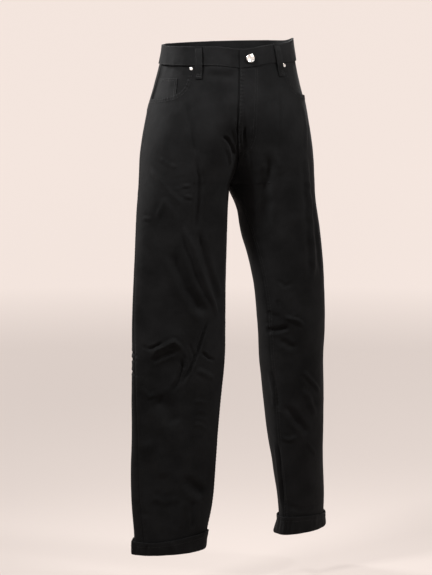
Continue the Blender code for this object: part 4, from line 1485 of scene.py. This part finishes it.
class ClothSettings(PropertyGroup):
    thickness: FloatProperty(
        name="Cloth", description="Thickness of one layer", default=1.4 * MM, unit="LENGTH"
    )
    levels: IntProperty(
        name="Levels", description="Smoothing levels of the large panels", default=3, min=1, max=4
    )
    colour: FloatVectorProperty(
        name="Colour", description="Black of the twill", default=(0.0048, 0.0048, 0.0050),
        subtype="COLOR", min=0.0, max=1.0,
    )
    roughness: FloatProperty(name="Roughness", description="Mattness of the twill", default=0.88)
    sheen: FloatProperty(name="Sheen", description="Soft fibre sheen", default=0.012)
    wales: FloatProperty(name="Wales", description="Fineness of the twill's wales", default=900.0)


class StageSettings(PropertyGroup):
    floor: FloatProperty(
        name="Floor", description="Height of the floor", default=-1.10, unit="LENGTH"
    )
    radius: FloatProperty(
        name="Radius", description="Reach of the floor to its round wall", default=5.0,
        unit="LENGTH",
    )
    colour: FloatVectorProperty(
        name="Backdrop", description="Pale warm backdrop", default=(0.12, 0.106, 0.098),
        subtype="COLOR", min=0.0, max=1.0,
    )
    glow: FloatVectorProperty(
        name="Glow", description="Even light that comes back from the backdrop",
        default=(0.83, 0.73, 0.68), subtype="COLOR", min=0.0, max=1.0,
    )
    turn: FloatProperty(
        name="Camera turn", description="How far the camera stands to the wearer's right",
        default=math.radians(18), subtype="ANGLE",
    )
    distance: FloatProperty(
        name="Camera distance", description="Level distance to the garment", default=3.6,
        unit="LENGTH",
    )
    lens: FloatProperty(name="Lens", description="Focal length in millimetres", default=109.95)


class SewingSettings(PropertyGroup):
    stitch: FloatProperty(
        name="Stitch", description="Length of one stitch", default=2.9 * MM, unit="LENGTH"
    )
    thickness: FloatProperty(
        name="Thread", description="Half the thickness of the thread", default=0.34 * MM,
        unit="LENGTH",
    )
    tack: FloatProperty(
        name="Tack", description="Half the height of a bar tack", default=1.1 * MM, unit="LENGTH"
    )
    slit: FloatProperty(
        name="Slit", description="Length of the buttonhole in millimetres", default=20.0
    )
    colour: FloatVectorProperty(
        name="Colour", description="Black of the thread", default=(0.0054, 0.0053, 0.0055),
        subtype="COLOR", min=0.0, max=1.0,
    )


class MetalSettings(PropertyGroup):
    roughness: FloatProperty(name="Roughness", description="Dullness of the metal", default=0.22)
    colour: FloatVectorProperty(
        name="Colour", description="Tone of the metal", default=(0.82, 0.81, 0.79),
        subtype="COLOR", min=0.0, max=1.0,
    )


class JeansSettings(PropertyGroup):
    sewing: PointerProperty(type=SewingSettings)
    metal: PointerProperty(type=MetalSettings)
    cloth: PointerProperty(type=ClothSettings)
    stage: PointerProperty(type=StageSettings)


# Operators


class JEANS_OT_panels(Operator):
    """Fronts, backs and yokes with their creases and seams"""

    bl_idname = "jeans.panels"
    bl_label = "Panels"

    def execute(self, context):
        for index, panel in enumerate(PANELS):
            make_panel(index, panel)
        return {"FINISHED"}


class JEANS_OT_waistband(Operator):
    """Waistband of one strip all round"""

    bl_idname = "jeans.waistband"
    bl_label = "Waistband"

    def execute(self, context):
        make_small_piece("waistband", 3, BAND_STRIP, ())
        return {"FINISHED"}


class JEANS_OT_pockets(Operator):
    """Facings in the front pocket mouths, coin pocket and back pockets"""

    bl_idname = "jeans.pockets"
    bl_label = "Pockets"

    def execute(self, context):
        skin = garment().tree
        for half in SIDES:
            make_facing(half)
            make_small_piece(f"back_pocket_{half}", 2, None, CREASES, skin)
        make_small_piece("coin_pocket", 3, None, CREASES, skin)
        return {"FINISHED"}


class JEANS_OT_fly(Operator):
    """Lap behind the fly and the zip's tape"""

    bl_idname = "jeans.fly"
    bl_label = "Fly"

    def execute(self, context):
        for node in ("fly_shield", "zip_tape"):
            make_small_piece(node, 2, None, CREASES, garment().tree)
        return {"FINISHED"}


class JEANS_OT_belt_loops(Operator):
    """The five belt loops"""

    bl_idname = "jeans.belt_loops"
    bl_label = "Belt Loops"

    def execute(self, context):
        for place in LOOPS:
            make_small_piece(f"belt_loop_{place}", 3, None, ())
        return {"FINISHED"}


class JEANS_OT_cuffs(Operator):
    """Turned-up hems"""

    bl_idname = "jeans.cuffs"
    bl_label = "Cuffs"

    def execute(self, context):
        for half in SIDES:
            make_cuff(half)
        return {"FINISHED"}


class JEANS_OT_sewing(Operator):
    """Stitch rows, bar tacks and the buttonhole"""

    bl_idname = "jeans.sewing"
    bl_label = "Sewing"

    def execute(self, context):
        add_sewing("waist_sewing", waist_rows())
        add_sewing("tack_sewing", tack_rows(), TACK_STITCH)
        add_sewing("buttonhole_sewing", buttonhole_rows(), HOLE_STITCH)
        add_sewing("pocket_sewing", pocket_rows())
        add_sewing("seam_sewing", seam_rows() + fly_rows())
        add_sewing("cuff_sewing", cuff_rows())
        return {"FINISHED"}


class JEANS_OT_metal(Operator):
    """Shank button, rivets and zip teeth"""

    bl_idname = "jeans.metal"
    bl_label = "Metal"

    def execute(self, context):
        turn_profile("button_metal", "waist_button", BUTTON_PROFILE)
        for half in SIDES:
            turn_profile(f"rivet_{half}_metal", f"rivet_{half}", RIVET_PROFILE)
        make_zip()
        return {"FINISHED"}


class JEANS_OT_stage(Operator):
    """Pale floor and backdrop, soft light and the camera"""

    bl_idname = "jeans.stage"
    bl_label = "Stage"

    def execute(self, context):
        stage = settings().stage
        make_backdrop(stage)
        for lamp in LAMPS:
            light = bpy.data.lights.new(lamp.name, "AREA")
            light.spread = math.radians(lamp.spread)
            light.size = lamp.size
            light.energy = lamp.power
            stand = bpy.data.objects.new(lamp.name, light)
            context.scene.collection.objects.link(stand)
            stand.location = lamp.place
            aim = Vector(lamp.target) - Vector(lamp.place)
            stand.rotation_euler = aim.to_track_quat("-Z", "Y").to_euler()
        camera = bpy.data.objects.new("camera", bpy.data.cameras.new("camera"))
        context.scene.collection.objects.link(camera)
        turn = stage.turn
        back = Vector((-math.sin(turn), -math.cos(turn), 0.0))
        right = Vector((math.cos(turn), -math.sin(turn), 0.0))
        camera.location = back * stage.distance + right * CAMERA_ASIDE
        camera.location.z += CAMERA_HEIGHT
        aim = -back * stage.distance + Vector((0.0, 0.0, CAMERA_DROP))
        camera.rotation_euler = aim.to_track_quat("-Z", "Y").to_euler()
        camera.data.lens = stage.lens
        camera.data.sensor_width = 36.0
        context.scene.camera = camera
        world = bpy.data.worlds.new("studio")
        world.use_nodes = True
        give(world.node_tree.nodes["Background"], Color=WORLD_TONE, Strength=WORLD_LIGHT)
        context.scene.world = world
        context.scene.view_settings.view_transform = "Standard"
        return {"FINISHED"}


class JEANS_PT_sidebar(Panel):
    bl_idname = "JEANS_PT_sidebar"
    bl_label = "Jeans"
    bl_space_type = "VIEW_3D"
    bl_region_type = "UI"
    bl_category = "Jeans"

    def draw(self, context):
        for step in STEPS:
            self.layout.operator(step.bl_idname)


STEPS = (
    JEANS_OT_panels, JEANS_OT_waistband, JEANS_OT_pockets, JEANS_OT_fly, JEANS_OT_belt_loops,
    JEANS_OT_cuffs, JEANS_OT_sewing, JEANS_OT_metal, JEANS_OT_stage,
)
GROUPS = (ClothSettings, StageSettings, SewingSettings, MetalSettings, JeansSettings)


def register():
    for item in (*GROUPS, *STEPS, JEANS_PT_sidebar):
        bpy.utils.register_class(item)
    bpy.types.Scene.jeans = PointerProperty(type=JeansSettings)


def unregister():
    del bpy.types.Scene.jeans
    for item in reversed((*GROUPS, *STEPS, JEANS_PT_sidebar)):
        bpy.utils.unregister_class(item)


def main():
    register()
    bpy.ops.jeans.panels()
    bpy.ops.jeans.waistband()
    bpy.ops.jeans.pockets()
    bpy.ops.jeans.fly()
    bpy.ops.jeans.belt_loops()
    bpy.ops.jeans.cuffs()
    bpy.ops.jeans.sewing()
    bpy.ops.jeans.metal()
    bpy.ops.jeans.stage()
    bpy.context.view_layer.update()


if __name__ == "__main__":
    main()
